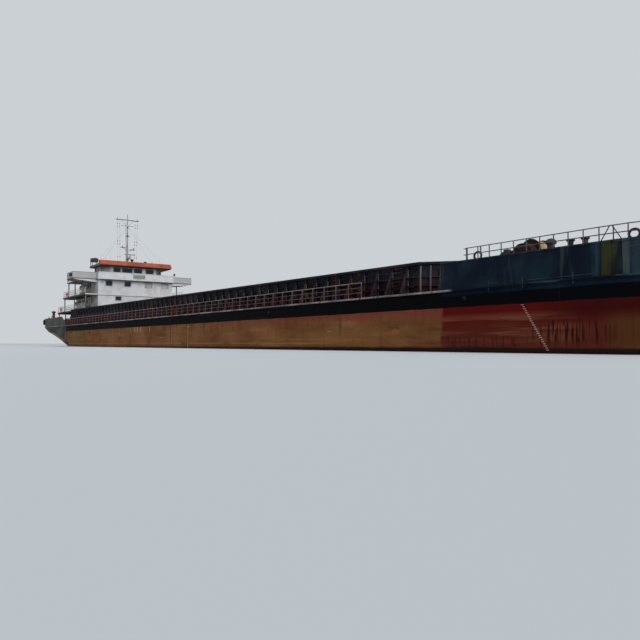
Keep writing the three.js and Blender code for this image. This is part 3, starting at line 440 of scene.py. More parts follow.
class Steelwork:
    """Plates, bars, pipes and turned parts in one mesh, each in the finish that was named last."""

    def __init__(self, finish):
        self.points, self.faces, self.coats, self.finishes = [], [], [], []
        self.wears(finish)

    def wears(self, finish):
        if finish not in self.finishes:
            self.finishes.append(finish)
        self.coat = self.finishes.index(finish)
        return self

    def face(self, *corners):
        self.faces.append(corners)
        self.coats.append(self.coat)

    def skin(self, rings, loop=False):
        """A closed skin through rings of points. The ends are capped, or joined in a loop."""
        first, count = len(self.points), len(rings[0])
        for ring in rings:
            self.points.extend(Vector(p) for p in ring)
        for k in range(len(rings) if loop else len(rings) - 1):
            a, b = first + k * count, first + (k + 1) % len(rings) * count
            for i in range(count):
                j = (i + 1) % count
                self.face(a + i, a + j, b + j, b + i)
        if not loop:
            last = first + (len(rings) - 1) * count
            self.face(*range(first, first + count))
            self.face(*range(last, last + count))
        return self

    def block(self, xs, ys, zs):
        ring = [(xs[0], ys[0]), (xs[1], ys[0]), (xs[1], ys[1]), (xs[0], ys[1])]
        return self.skin([[(x, y, z) for x, y in ring] for z in zs])

    def about(self, x, y, dx, dy, *zs):
        """A block that stands about a middle in X and Y."""
        return self.block((x - dx, x + dx), (y - dy, y + dy), zs)

    def prism(self, axis, outline, start, end):
        """An outline carried along an axis. It is drawn in the other two, in the order X, Y, Z."""
        def at(a, b, c):
            return {"x": (c, a, b), "y": (a, c, b), "z": (a, b, c)}[axis]
        return self.skin([[at(a, b, c) for a, b in outline] for c in (start, end)])

    def web(self, axis, outline, middle, half):
        """A plate about a middle on its axis."""
        return self.prism(axis, outline, middle - half, middle + half)

    def bar(self, start, end, width, depth=None, up=(0, 0, 1)):
        """A flat bar between two points, with its depth towards up."""
        start, end, depth = Vector(start), Vector(end), depth or width
        along = (end - start).normalized()
        across = along.cross(Vector(up))
        if across.length < 0.01:
            across = along.cross(Vector((1, 0, 0)))
        across = across.normalized() * width / 2
        tall = across.cross(along).normalized() * depth / 2
        ring = [across + tall, tall - across, -across - tall, across - tall]
        return self.skin([[p + r for r in ring] for p in (start, end)])

    def pipe(self, path, radius, sides=8, loop=False):
        """A round bar or pipe along a path, mitred where it turns."""
        path = [Vector(p) for p in path]
        count = len(path)
        rings, across = [], None
        for k, p in enumerate(path):
            before = path[k - 1] if loop or k else p
            after = path[(k + 1) % count] if loop or k < count - 1 else p
            way_in, way_out = (p - before), (after - p)
            along = (way_in.normalized() + way_out.normalized()).normalized()
            stretch = 1 / max(0.3, along.dot((way_out if way_out.length else way_in).normalized()))
            if across is None:
                across = along.cross(Vector((0, 0, 1)))
                if across.length < 0.01:
                    across = along.cross(Vector((1, 0, 0)))
            across = (across - along * across.dot(along)).normalized()
            tall = along.cross(across)
            bend = way_in.normalized().cross(way_out.normalized())
            out = along.cross(bend).normalized() if bend.length > 0.01 else across
            ring = []
            for angle in circle(sides):
                spoke = (across * math.cos(angle) + tall * math.sin(angle)) * radius
                ring.append(p + spoke + out * spoke.dot(out) * (stretch - 1))
            rings.append(ring)
        return self.skin(rings, loop)

    def rod(self, x, y, z, radius, sides=8):
        """A straight pipe. What it runs along is given as two places."""
        return self.pipe(list(zip(*(v if isinstance(v, tuple) else (v, v) for v in (x, y, z)))),
                         radius, sides)

    def turned(self, base, profile, axis=(0, 0, 1), sides=24):
        """A form turned on an axis. The profile is height along the axis and radius."""
        base, axis = Vector(base), Vector(axis).normalized()
        across = axis.cross(Vector((1, 0, 0)) if abs(axis.x) < 0.9 else Vector((0, 1, 0))).normalized()
        tall = axis.cross(across)
        turns = [across * math.cos(a) + tall * math.sin(a) for a in circle(sides)]
        return self.skin([[base + axis * height + turn * radius for turn in turns]
                          for height, radius in profile])

    def mesh(self, name):
        mesh = bpy.data.meshes.new(name)
        mesh.from_pydata(self.points, [], self.faces)
        for finish in self.finishes:
            mesh.materials.append(finish)
        mesh.polygons.foreach_set("material_index", self.coats)
        mended = bmesh.new()
        mended.from_mesh(mesh)
        bmesh.ops.recalc_face_normals(mended, faces=mended.faces)
        mended.to_mesh(mesh)
        mended.free()
        return mesh

    def fitted(self, name, *fitting, **finishing):
        fit(name, self.mesh(name), *fitting, **finishing)


HULL_PAINT = lay_hull_paint()
wear(HULL_PAINT, "double_bottom", "side_tank_starboard", "side_tank_port", "hull_bow", "hull_stern")

# The rubbing bar along the deck's edge, half round steel welded on, rubbed bare in its lit upper face.
# The draught ticks and load marks are small plates welded to the side and painted white.
RUB_BAR = {"z": 5.34, "radius": 0.06, "bow": (52.4, 58.6, 5.5), "stern": (-55.5, -59.0, 6.0)}
MARK_WHITE = weathered("mark white", (164, 136, 128), (136, 104, 98), (104, 54, 42), 0.7, 0.6)
FADED_MARK = weathered("faded mark", (168, 134, 104), (142, 106, 80), (104, 62, 40), 0.6, 0.6)
BOW_TICKS = {"foot": 2.1, "top": 4.35, "pitch": 0.1, "rake": -0.635, "x": 48.33, "wide": 0.15, "high": 0.045}
LOAD_LINE = {"x": 8.1, "foot": 2.05, "top": 4.3, "half": 0.065}


def lay_edge_paint():
    f = Finish("rubbed edge paint", (112, 106, 104), 0.5)
    dark = f.coats((9, 15, 24), ((40, 56, 64), (f.noise(1.4, (0.3, 1, 1), 6, shift=4), 0.52, 0.66)))
    f.bump(f.noise(5.5, detail=8, rough=0.68), 0.012, 0.4)
    return f.done(f.coats(
        (92, 86, 84),
        ((138, 132, 128), (f.noise(2.2, (0.2, 1, 1), 6), 0.4, 0.6)),
        ((88, 56, 42), (f.noise(4.0, detail=7, shift=2), 0.54, 0.64)),
        (dark, (f.wavering(f.x, 0.6, 0.7), 43.4, 43.9))))


def plan_corner(start, end, flat, half, steps=10):
    """A quarter of a plan, from the side round to the flat end."""
    return [(start + (end - start) * math.sin(t), flat + (half - flat) * math.cos(t))
            for t in (math.pi / 2 * k / steps for k in range(steps + 1))]


rub_bars = Steelwork(lay_edge_paint())
run = plan_corner(*RUB_BAR["stern"], SIDE)[::-1] + plan_corner(*RUB_BAR["bow"], SIDE)
for hand in HANDS:
    rub_bars.pipe([(x, hand * y, RUB_BAR["z"]) for x, y in run], RUB_BAR["radius"])
rub_bars.fitted("rubbing_bars", slot="rail_paint")

marks = Steelwork(MARK_WHITE)
tick, line = BOW_TICKS, LOAD_LINE
for hand in HANDS:
    face = span(hand, FLAT_SIDE - 0.02, FLAT_SIDE + 0.015)
    for k in range(round((tick["top"] - tick["foot"]) / tick["pitch"]) + 1):
        fall = k * tick["pitch"]
        x, z = tick["x"] - fall * tick["rake"], tick["top"] - fall
        marks.block((x - tick["wide"] / (2, 4)[k % 2], x + tick["wide"] / 2), face, (z - tick["high"], z))
    marks.wears(FADED_MARK)
    marks.block((line["x"] - line["half"], line["x"] + line["half"]), face, (line["foot"], line["top"]))
    for k in range(6):
        z = line["top"] - 0.25 - k * 0.3
        marks.block((line["x"] - 0.2, line["x"]), face, (z - 0.03, z))
    marks.block((line["x"] + 0.1, line["x"] + 0.6), face, (4.1, 4.16))
    marks.wears(MARK_WHITE)
marks.fitted("draught_and_load_marks", slot="white_paint")

# Hull fittings: overboard outlets with their short spouts, and ladders in the hold, all of steel. Zinc
# anodes are welded to the skegs and the run aft.
ZINC = weathered("zinc", (150, 152, 150), (120, 120, 116), (96, 88, 70), 0.4, 0.7)
RUSTY_STEEL = weathered("rusty steel", (98, 54, 36), (70, 44, 36), (132, 68, 34), 0.9, 0.78)
OUTLET_IRON = weathered("outlet iron", (38, 30, 28), (54, 40, 34), (88, 50, 34), 0.7, 0.78)
OUTLETS = ((-38.5, 4.7), (-36.9, 4.2), (-35.2, 4.75), (-22.0, 4.9), (3.5, 4.9), (24.0, 4.9), (44.6, 4.85))
SPOUT = [(0, 0.14), (0.06, 0.14), (0.06, 0.09), (0.12, 0.085), (0.12, 0.06), (0.02, 0.06)]
HOLD_LADDERS = ((-31.5, 1), (38.6, -1))
SKEG_Y = 4.2

fittings = Steelwork(OUTLET_IRON)
for hand in HANDS:
    for x, z in OUTLETS:
        fittings.turned((x, hand * (FLAT_SIDE - 0.03), z), SPOUT, (0, hand, -0.35), 14)
fittings.wears(RUSTY_STEEL)
for x, hand in HOLD_LADDERS:
    y = hand * (HOLD["half"] - 0.16)
    for end in (x - 0.22, x + 0.22):
        fittings.bar((end, y, HOLD["floor"]), (end, y, 7.2), 0.05, 0.02, up=(0, 1, 0))
        for z in (1.6, 3.4, 5.1):
            fittings.block((end - 0.02, end + 0.02), sorted((y, hand * HOLD["half"])), (z, z + 0.05))
    for k in range(20):
        z = HOLD["floor"] + 0.25 + k * 0.3
        fittings.rod((x - 0.22, x + 0.22), y, z, 0.018, 6)
fittings.fitted("hull_fittings", slot="rusty_steel")

anodes = Steelwork(ZINC)
for hand in HANDS:
    for x in (-43.2, -41.4, -39.6):
        for y, face in ((hand * SKEG_Y, -0.28), (hand * SKEG_Y, 0.28)):
            anodes.block((x - 0.3, x + 0.3), sorted((y + face * 0.78, y + face)), (1.35, 1.47))
    for x in (-36.6, -37.7):
        anodes.block((x - 0.3, x + 0.3), span(hand, FLAT_SIDE - 0.02, FLAT_SIDE + 0.04), (1.4, 1.5))
anodes.fitted("anodes", bevel=0.015)

# The coamings round the hold: blue-grey plate with a stay at every frame and a rail along the top,
# rusted red in its lower half. Light ribs and the stays' face flats are welded on outside.
COAMING = {"inner": 8.7, "outer": 8.82, "aft": -42.0, "fore": 39.797, "foot": 5.403}
COAMING_TOP = {"fore": (39.8, 7.36), "aft": (-33.0, 7.96)}
STAY_PITCH, STAY_REACH, STAY_HEAD = 1.4, 0.72, 0.16
RIBS = ((6.98, 0.12), (5.95, 0.3))


def coaming_top(x):
    (fore, low), (aft, high) = COAMING_TOP["fore"], COAMING_TOP["aft"]
    return low + (low - high) / (fore - aft) * (x - fore)


def lay_coaming_paint():
    f = Finish("coaming paint", (35, 38, 48), 0.55)
    ramp, noise, z = f.ramp, f.noise, f.z
    patch = noise(0.5, (0.5, 1, 1.4), 6, shift=5)
    fine = noise(5, detail=8, rough=0.7)
    drips = noise(2.6, (1, 1, 0.12), 6, shift=7)
    # Painted highlight on the rail along the top: lighter grey, with darker specks.
    lit_rail_top = f.coats((74, 80, 86), ((52, 54, 60), (fine, 0.42, 0.6)))
    under_rail = f.math("SUBTRACT", z, f.math("MULTIPLY", f.x, -0.00824))
    coat = f.coats(
        (22, 24, 31),
        ((36, 38, 45), (patch, 0.4, 0.62)),
        ((60, 25, 24), 0.8, (f.wavering(z, 0.8, 0.5), 6.45, 6.05),
         (noise(0.8, detail=7, shift=1), 0.4, 0.58)),
        ((92, 50, 34), 0.75, (drips, 0.55, 0.72)),
        ((104, 58, 38), (fine, 0.56, 0.66), (patch, 0.46, 0.6)),
        ((96, 44, 32), 0.7, (f.x, 40.6, 41.2), (noise(1.1, shift=4), 0.4, 0.55), (z, 7.3, 7.0)),
        # The top rail takes the painted highlight.
        (lit_rail_top, 0.8, (under_rail, 7.66, 7.68)))
    f.bump(fine, 0.014, 0.5)
    return f.done(coat, fine, 0.42, 0.85)


COAMING_PAINT = lay_coaming_paint()
FLANGE_PAINT = weathered("stay flange paint", (70, 72, 78), (96, 94, 96), (112, 66, 48), 0.8, 0.5)
wear(COAMING_PAINT, "coaming_starboard", "coaming_port", "coaming_fore", "coaming_aft")


def row_tree():
    """Sets one part on every vertex of the base, turned and stretched as the vertex says."""
    g = Growth("row of parts", Part="Object")
    part = g.add("GeometryNodeObjectInfo", Object=g.given["Part"]).outputs["Geometry"]
    turn, size = (g.make("InputNamedAttribute", {"data_type": "FLOAT_VECTOR"}, Name=label)
                  for label in ("turn", "size"))
    turned = g.add("FunctionNodeEulerToRotation", Euler=turn).outputs[0]
    return g.close(g.make("InstanceOnPoints", Points=g.given["Base"], Instance=part, Rotation=turned,
                          Scale=size))


ROW = row_tree()


def row(part, places, finish):
    """A mesh with the part at each place: a point, a turn in radians and a size."""
    base = bpy.data.meshes.new("places")
    base.from_pydata([p for p, turn, size in places], [], [])
    for label, column in (("turn", 1), ("size", 2)):
        held = base.attributes.new(label, "FLOAT_VECTOR", "POINT")
        held.data.foreach_set("vector", [v for place in places for v in place[column]])
    template = linked("part", part.mesh("part"))
    mesh = ROW.grow(base, Part=template, Finish=finish)
    bpy.data.objects.remove(template)
    return mesh


stay_count = math.floor((COAMING["fore"] - COAMING["aft"]) / STAY_PITCH)
stay_gap = (COAMING["fore"] - COAMING["aft"]) / stay_count
stays = [COAMING["aft"] + (k + 0.5) * stay_gap for k in range(stay_count)]
flange = Steelwork(COAMING_PAINT).about(0, 0, 0.075, 0.012, 0, 1)
places = []
for hand in HANDS:
    for x in stays:
        foot = Vector((x, hand * (COAMING["outer"] + STAY_REACH), COAMING["foot"] + 0.12))
        reach = Vector((x, hand * (COAMING["inner"] + STAY_HEAD), coaming_top(x) - 0.17)) - foot
        places.append((foot, (math.atan2(-reach.y, reach.z), 0, 0), (1, 1, reach.length)))
fit("stay_flanges", row(flange, places, COAMING_PAINT), slot="coaming_paint")

# Each stay's web has an upright flat on its fore face. Webs of the same depth stand round the cut
# corners at the fore end, with the shelf rib carried on between them.
CORNER = {"start": (39.86, 8.8), "end": (42.2, 6.94), "reach": 0.34, "count": 5}
CORNER_DEPTHS = ((5.41, 1.0), (6.4, 1.0), (7.15, 0.5))
upright = Steelwork(FLANGE_PAINT).about(0.065, 0, 0.02, 0.03, 0, 1)
uprights = [((x, hand * 8.95, 5.42), (0, 0, 0), (1, 1, 1.53)) for hand in HANDS for x in stays]
fit("stay_uprights", row(upright, uprights, FLANGE_PAINT), slot="coaming_paint")

corner_stays = Steelwork(COAMING_PAINT)
for hand in HANDS:
    start, end = (Vector((x, hand * y, 0)) for x, y in (CORNER["start"], CORNER["end"]))
    along = (end - start).normalized()
    out = Vector((-along.y, along.x, 0)) * hand

    def upstand(foot, half, levels):
        """A plate that stands on a foot. Its levels give a height, and how far out its root and lip lie."""
        return [[foot + along * a + out * b + Vector((0, 0, z))
                 for a, b in ((-half, root), (half, root), (half, lip), (-half, lip))]
                for z, root, lip in levels]
    for k in range(CORNER["count"]):
        foot = start.lerp(end, (k + 0.35) / CORNER["count"])
        depths = [(z, CORNER["reach"] * share) for z, share in CORNER_DEPTHS]
        corner_stays.wears(COAMING_PAINT).skin(upstand(foot, 0.03, [(z, -0.02, lip) for z, lip in depths]))
        corner_stays.wears(FLANGE_PAINT).skin(upstand(foot, 0.05,
                                                      [(z, lip, lip + 0.02) for z, lip in depths]))
    corner_stays.wears(COAMING_PAINT)
    for z in (6.43, 5.9):
        section = ((-0.02, z), (0.3, z), (0.3, z + 0.05), (-0.02, z + 0.05))
        corner_stays.skin([[p + out * b + Vector((0, 0, h)) for b, h in section] for p in (start, end)])
corner_stays.fitted("coaming_corner_stays", slot="coaming_paint")

ribs = Steelwork(COAMING_PAINT)
for hand in HANDS:
    for z, reach in RIBS:
        length, lip = (COAMING["aft"], COAMING["fore"]), COAMING["outer"] + reach
        ribs.block(length, span(hand, COAMING["inner"] + 0.06, lip), (z - 0.03, z))
        ribs.block(length, span(hand, lip, lip - 0.03), (z - 0.1, z))
ribs.fitted("coaming_ribs", slot="coaming_paint")


# Rungs up the coaming at both ends of the hold, of round bar bent and welded.
def staple(start, end, rise):
    """The path of a bar that stands off a plate between two points."""
    start, end, rise = Vector(start), Vector(end), Vector(rise)
    return [start, start + rise, end + rise, end]


rungs = Steelwork(RUSTY_STEEL)
for hand in HANDS:
    y = hand * COAMING["outer"]
    for x in (stays[9] + stay_gap / 2, stays[-2] + stay_gap / 2):
        for z in (5.75 + k * 0.27 for k in range(6)):
            rungs.pipe(staple((x - 0.2, y, z), (x + 0.2, y, z), (0, hand * 0.4, 0)), 0.016, 6)
rungs.fitted("coaming_rungs", slot="rusty_steel")

# Guard rails along both walkways: steel pipe, three courses on posts with foot plates, painted a pale
# red-grey and rusting at the feet. They stand just inside the deck's edge.
WALK_RAIL = {"aft": -41.2, "fore": 35.7, "y": 9.86, "height": 1.0, "pitch": 1.4}


def lay_rail_paint():
    f = Finish("rail paint", (120, 104, 100), 0.5)
    patch = f.ramp(f.noise(0.55, detail=6, rough=0.62, shift=5), 0.36, 0.66)
    fine = f.noise(5.5, detail=8, rough=0.68)
    head = COAMING["foot"] + WALK_RAIL["height"]
    top = f.coats((150, 134, 130), ((122, 106, 102), patch))
    coat = f.coats((98, 82, 80), ((80, 64, 62), patch), (top, (f.z, head - 0.12, head - 0.05)),
                   ((92, 48, 36), (fine, 0.56, 0.68)))
    f.bump(fine, 0.012, 0.4)
    return f.done(coat, fine, 0.4, 0.7)


RAIL_PAINT = lay_rail_paint()


def rail_tree():
    """Courses of pipe along the base's edges, and a post with a foot plate on each of its vertices."""
    g = Growth("guard rail", Height="Float", Courses="Int", Pipe="Float", Post="Float")
    base, height, courses = (g.given[label] for label in ("Base", "Height", "Courses"))
    step_down = g.math("MULTIPLY", g.math("DIVIDE", height, courses), -1.0)
    lift, head, drop = (g.add("ShaderNodeCombineXYZ", Z=z).outputs[0]
                        for z in (g.math("MULTIPLY", height, 0.5), height, step_down))
    post = g.make("MeshCylinder", Vertices=8, Radius=g.given["Post"], Depth=height)
    foot = g.join(g.make("Transform", Geometry=post, Translation=lift),
                  g.make("MeshCube", Size=(0.16, 0.16, 0.03)))
    section = g.make("CurvePrimitiveCircle", Resolution=8, Radius=g.given["Pipe"])
    course = g.make("CurveToMesh", Curve=g.make("MeshToCurve", Mesh=base), Profile_Curve=section,
                    Fill_Caps=True)
    line = g.make("MeshLine", Count=courses, Start_Location=head, Offset=drop)
    return g.close(g.join(g.make("InstanceOnPoints", Points=base, Instance=foot),
                          g.make("InstanceOnPoints", Points=line, Instance=course)))


RAIL = rail_tree()


def post_line(paths, pitch, z):
    """Post feet at an even pitch along each path of points in X and Y, joined in order."""
    feet, joins = [], []
    for corners in paths:
        first = len(feet)
        feet.append(Vector((*corners[0], z)))
        for a, b in zip(corners, corners[1:]):
            start, end = Vector((*a, z)), Vector((*b, z))
            bays = max(1, round((end - start).length / pitch))
            feet += [start.lerp(end, k / bays) for k in range(1, bays + 1)]
        joins += [(k, k + 1) for k in range(first, len(feet) - 1)]
    base = bpy.data.meshes.new("post feet")
    base.from_pydata(feet, joins, [])
    return base


def guard_rail(name, paths, z, height, courses, pitch, replaces=(), finish=RAIL_PAINT, pipe=0.022,
               post=0.024):
    mesh = RAIL.grow(post_line(paths, pitch, z), Height=height, Courses=courses, Pipe=pipe, Post=post,
                     Finish=finish)
    fit(name, mesh, slot="rail_paint", replaces=replaces)


for side, hand in SIDES:
    ends = [(x, hand * WALK_RAIL["y"]) for x in (WALK_RAIL["aft"], WALK_RAIL["fore"])]
    guard_rail(f"walkway_rail_{side}", [ends], COAMING["foot"], WALK_RAIL["height"], 3, WALK_RAIL["pitch"],
               [f"guard_rail_{side}"])

# Air pipes of the side tanks stand between the stays, with goose necks and a closing float each.
# They are of galvanised steel pipe, rusted through at the bend, on a flange bolted to the deck.
air = Steelwork(RUSTY_STEEL)
for hand in HANDS:
    for k in range(4, stay_count, 9):
        x, y, foot = stays[k] + stay_gap * 0.3, hand * 9.2, COAMING["foot"]
        bend = [(x + 0.12 - 0.12 * math.cos(t), y, 5.95 + 0.12 * math.sin(t))
                for t in (0.0, 0.8, 1.57, 2.34, 3.14)]
        air.pipe([(x, y, foot), *bend, (x + 0.24, y, 5.86)], 0.055, 10)
        air.turned((x, y, foot), [(0, 0.12), (0.03, 0.12)], sides=12)
        air.turned((x + 0.24, y, 5.78), [(0, 0.085), (0.1, 0.085)], sides=12)
air.fitted("tank_air_pipes", slot="rusty_steel")

# The forecastle: a raised deck inside a low bulwark of blue plate, chalky and streaked with rust by
# the anchors. Brackets hold the bulwark, a round bar caps it, and ring fairleads stand on it.
FORECASTLE = {"aft": 42.9, "top": 6.86, "deck": 6.56, "plate": 0.12, "rail_aft": 44.8, "rail_top": 7.54}
BOW_PLAN = (52.4, 59.0, 5.5)
BOW_PLATE = 6.0


def lay_blue_paint():
    f = Finish("forecastle blue", (15, 28, 40), 0.4)
    x, ramp, noise, band = f.x, f.ramp, f.noise, f.band
    patch = noise(0.45, (0.8, 1, 0.8), 6, shift=5)
    fine = noise(4.5, detail=8, rough=0.7)
    drips = noise(2.2, (1, 1, 0.1), 6, shift=3)
    knuckle_highlight_streaks = noise(1.6, (1, 1, 0.08), shift=12)
    grain = noise(3.4, (1, 1, 0.06), 4, shift=14)
    across = f.wavering(x, 0.2, 0.8)
    olive = f.coats((22, 24, 18), ((50, 52, 22), (grain, 0.44, 0.56)))
    coat = f.coats(
        (9, 18, 32),
        ((18, 36, 46), (patch, 0.42, 0.62)),
        ((52, 62, 62), 0.6, (drips, 0.56, 0.72)),
        ((70, 52, 42), (fine, 0.6, 0.7), (patch, 0.5, 0.62)),
        # Painted highlight along the knuckle where the bow plating turns in, broken by streaks.
        ((42, 60, 76), 0.6, (across, 52.0, 52.2, 52.35, 52.5), (knuckle_highlight_streaks, 0.36, 0.5)),
        (olive, 0.85, (across, 52.3, 52.65, 53.05, 53.45)),
        # Lighter grey-blue on the facets forward of the olive panel: chalky paint, and painted light where
        # the facets turn to the light.
        ((70, 78, 75), 0.7, (across, 53.1, 53.4, 53.6, 53.9), (grain, 0.40, 0.52)),
        ((46, 60, 70), 0.7, (f.wavering(x, 0.4, 0.9), 53.6, 54.0), (noise(0.9, (1, 1, 0.3)), 0.36, 0.52)))
    strips = f.math("MAXIMUM", f.seams(f.y, STRIP_PITCH, 0.03), f.seams(x, BOW_PLATE, 0.03, shift=1.0))
    deck = f.coats((78, 46, 40), ((102, 66, 54), (patch, 0.4, 0.6)), ((66, 52, 46), (fine, 0.5, 0.66)),
                   ((50, 34, 32), 0.55, strips))
    level = FORECASTLE["deck"]
    inboard = f.math("LESS_THAN", f.math("ABSOLUTE", f.y), SIDE - 0.125)
    f.bump(f.seams(x, BOW_PLATE, 0.02, shift=1.0), 0.008, 0.6)
    f.bump(fine, 0.012, 0.45)
    on_deck = band(f.z, level - 0.02, level - 0.01, level + 0.01, level + 0.02)
    return f.done(f.coats(coat, (deck, on_deck, inboard)), fine, 0.3, 0.75)


BLUE_PAINT = lay_blue_paint()
wear(BLUE_PAINT, "forecastle")
DARK_PAINT = weathered("dark paint", (38, 40, 44), (58, 58, 60), (96, 54, 38), 0.8, 0.55)
# The knuckle strips' lighter blue is a painted highlight.
KNUCKLE_HIGHLIGHT = weathered("knuckle strip painted highlight", (40, 60, 70), (28, 42, 52), (90, 62, 48), 0.5, 0.45)
f_top, f_deck = FORECASTLE["top"], FORECASTLE["deck"]


def bracket(hand, root, reach, lip, foot, head):
    """A bulwark bracket's outline: it stands on a foot as deep as reach, and is lip deep at its head."""
    return [(hand * root, foot), (hand * (root - reach), foot), (hand * (root - lip), head),
            (hand * root, head)]


cap = Steelwork(BLUE_PAINT)
for hand in HANDS:
    line = [(FORECASTLE["aft"], SIDE - 0.06)] + plan_corner(*BOW_PLAN, SIDE - 0.06)
    cap.pipe([(x, hand * y, f_top - 0.015) for x, y in line], 0.085)
    for k in range(1, 16):
        cap.web("x", bracket(hand, SIDE - FORECASTLE["plate"], 0.24, 0.03, f_deck, f_top - 0.04),
                FORECASTLE["aft"] + k * 0.66, 0.02)
cap.pipe([(BOW_PLAN[1] - 0.06, end * BOW_PLAN[2], f_top - 0.015) for end in HANDS], 0.085)
cap.fitted("bulwark_cap", slot="blue_paint")

# Knuckle strips on the forecastle's side, painted a lighter blue that stands for their highlight.
knuckle = Steelwork(KNUCKLE_HIGHLIGHT)
for hand in HANDS:
    proud = span(hand, SIDE - 0.02, SIDE + 0.02)
    for length in ((46.2, 46.9), (48.7, 52.2)):
        knuckle.block(length, proud, (5.5, 5.53))
    for x in (46.3, 48.4, 51.15):
        knuckle.block((x - 0.025, x + 0.025), proud, (5.15, 5.7))
knuckle.fitted("knuckle_strip", slot="blue_paint")

fairleads = Steelwork(DARK_PAINT)
ROLLER = [(0, 0.2), (0.06, 0.2), (0.06, 0.12), (0.4, 0.1), (0.4, 0.16), (0.46, 0.16)]
for hand in HANDS:
    for x, y in ((45.5, SIDE - 0.12), (53.9, SIDE - 0.22)):
        ring = [(x + 0.24 * math.cos(a), hand * y, f_top + 0.2 + 0.2 * math.sin(a)) for a in circle(20)]
        fairleads.pipe(ring, 0.06, loop=True)
        fairleads.about(x, hand * y, 0.3, 0.08, f_top, f_top + 0.06)
for y in (-2.2, 2.2):
    for end in (-0.3, 0.3):
        fairleads.turned((58.1, y + end, f_deck), ROLLER, sides=18)
    fairleads.about(58.1, y, 0.25, 0.6, f_deck, f_deck + 0.05)
fairleads.fitted("fairleads", slot="dark_paint", bevel=0.01)

# The forecastle's rail of dark pipe stands on the bulwark, with a pair of crossed braces where the two
# lengths of rail meet on each bow, and a stouter post at its after end.
FORE_RAIL = weathered("dark rail paint", (60, 66, 72), (84, 86, 88), (104, 60, 44), 0.8, 0.5)
rail_aft, rail_top = FORECASTLE["rail_aft"], FORECASTLE["rail_top"]
half_line = [(rail_aft, SIDE - 0.06)] + plan_corner(BOW_PLAN[0], BOW_PLAN[1] - 0.06, BOW_PLAN[2],
                                                    SIDE - 0.06, 8)
whole_line = [(x, -y) for x, y in half_line] + half_line[::-1]
guard_rail("forecastle_guard_rail", [whole_line], f_top, rail_top - f_top, 2, 0.8,
           ["forecastle_rail"], FORE_RAIL,
           0.024, 0.028)
braces = Steelwork(FORE_RAIL)
for y in (0.06 - SIDE, SIDE - 0.06):
    for low, high in ((52.45, 52.9), (53.45, 53.0)):
        braces.pipe([(low, y, f_top), (high, y, rail_top)], 0.024)
    for x, thick in ((rail_aft, 0.05), (45.75, 0.036)):
        braces.rod(x, y, (f_top, rail_top + 0.02), thick)
    for z in (f_top + 0.33, f_top + 0.66):
        braces.rod((rail_aft - 0.22, rail_aft), y, z, 0.024)
braces.fitted("forecastle_rail_braces", slot="rail_paint")

# Steps up to the forecastle from both walkways: flat strings, plate treads and a low grab rail.
steps = Steelwork(FORE_RAIL)
for hand in HANDS:
    y, rail = hand * 9.2, hand * 9.54
    for end in (y - 0.3, y + 0.3):
        steps.bar((42.25, end, DECK), (42.88, end, f_top), 0.03, 0.16)
    for k in range(1, 6):
        tread = DECK + 1.46 * k / 6
        steps.about(42.25 + 0.63 * k / 6, y, 0.09, 0.3, tread - 0.02, tread + 0.01)
    steps.pipe([(42.3, rail, DECK + 0.1), (42.3, rail, DECK + 0.6), (42.85, rail, f_top - 0.1)], 0.022)
steps.fitted("forecastle_steps", slot="rail_paint")

# Anchor gear on each side: a rusty fabricated bed with cheeks, gear case, brake wheel and motor, and a
# drum on its own shaft, wound with old mooring rope.
WINDLASS = {"x": 46.3, "y": 6.0, "deck": 6.563, "axis": 7.513, "cheek": 0.605}
DRUM_HALF = [(-0.74, 0.125), (-0.55, 0.125), (-0.55, 0.66), (-0.5, 0.66), (-0.47, 0.62), (-0.44, 0.5)]
MOTOR = [(0, 0.2), (0.02, 0.3), (0.7, 0.3), (0.72, 0.2), (0.86, 0.18), (0.88, 0.08), (1.25, 0.07)]
ROPE = weathered("mooring rope", (172, 146, 114), (138, 112, 84), (92, 66, 48), 0.6, 0.9)
MACHINE_RUST = weathered("machinery rust", (54, 36, 30), (40, 30, 28), (92, 54, 36), 0.8, 0.72)


def arc(a, b, wide, high, angles):
    """Points in a plane, round a centre."""
    return [(a + wide * math.cos(t), b + high * math.sin(t)) for t in angles]


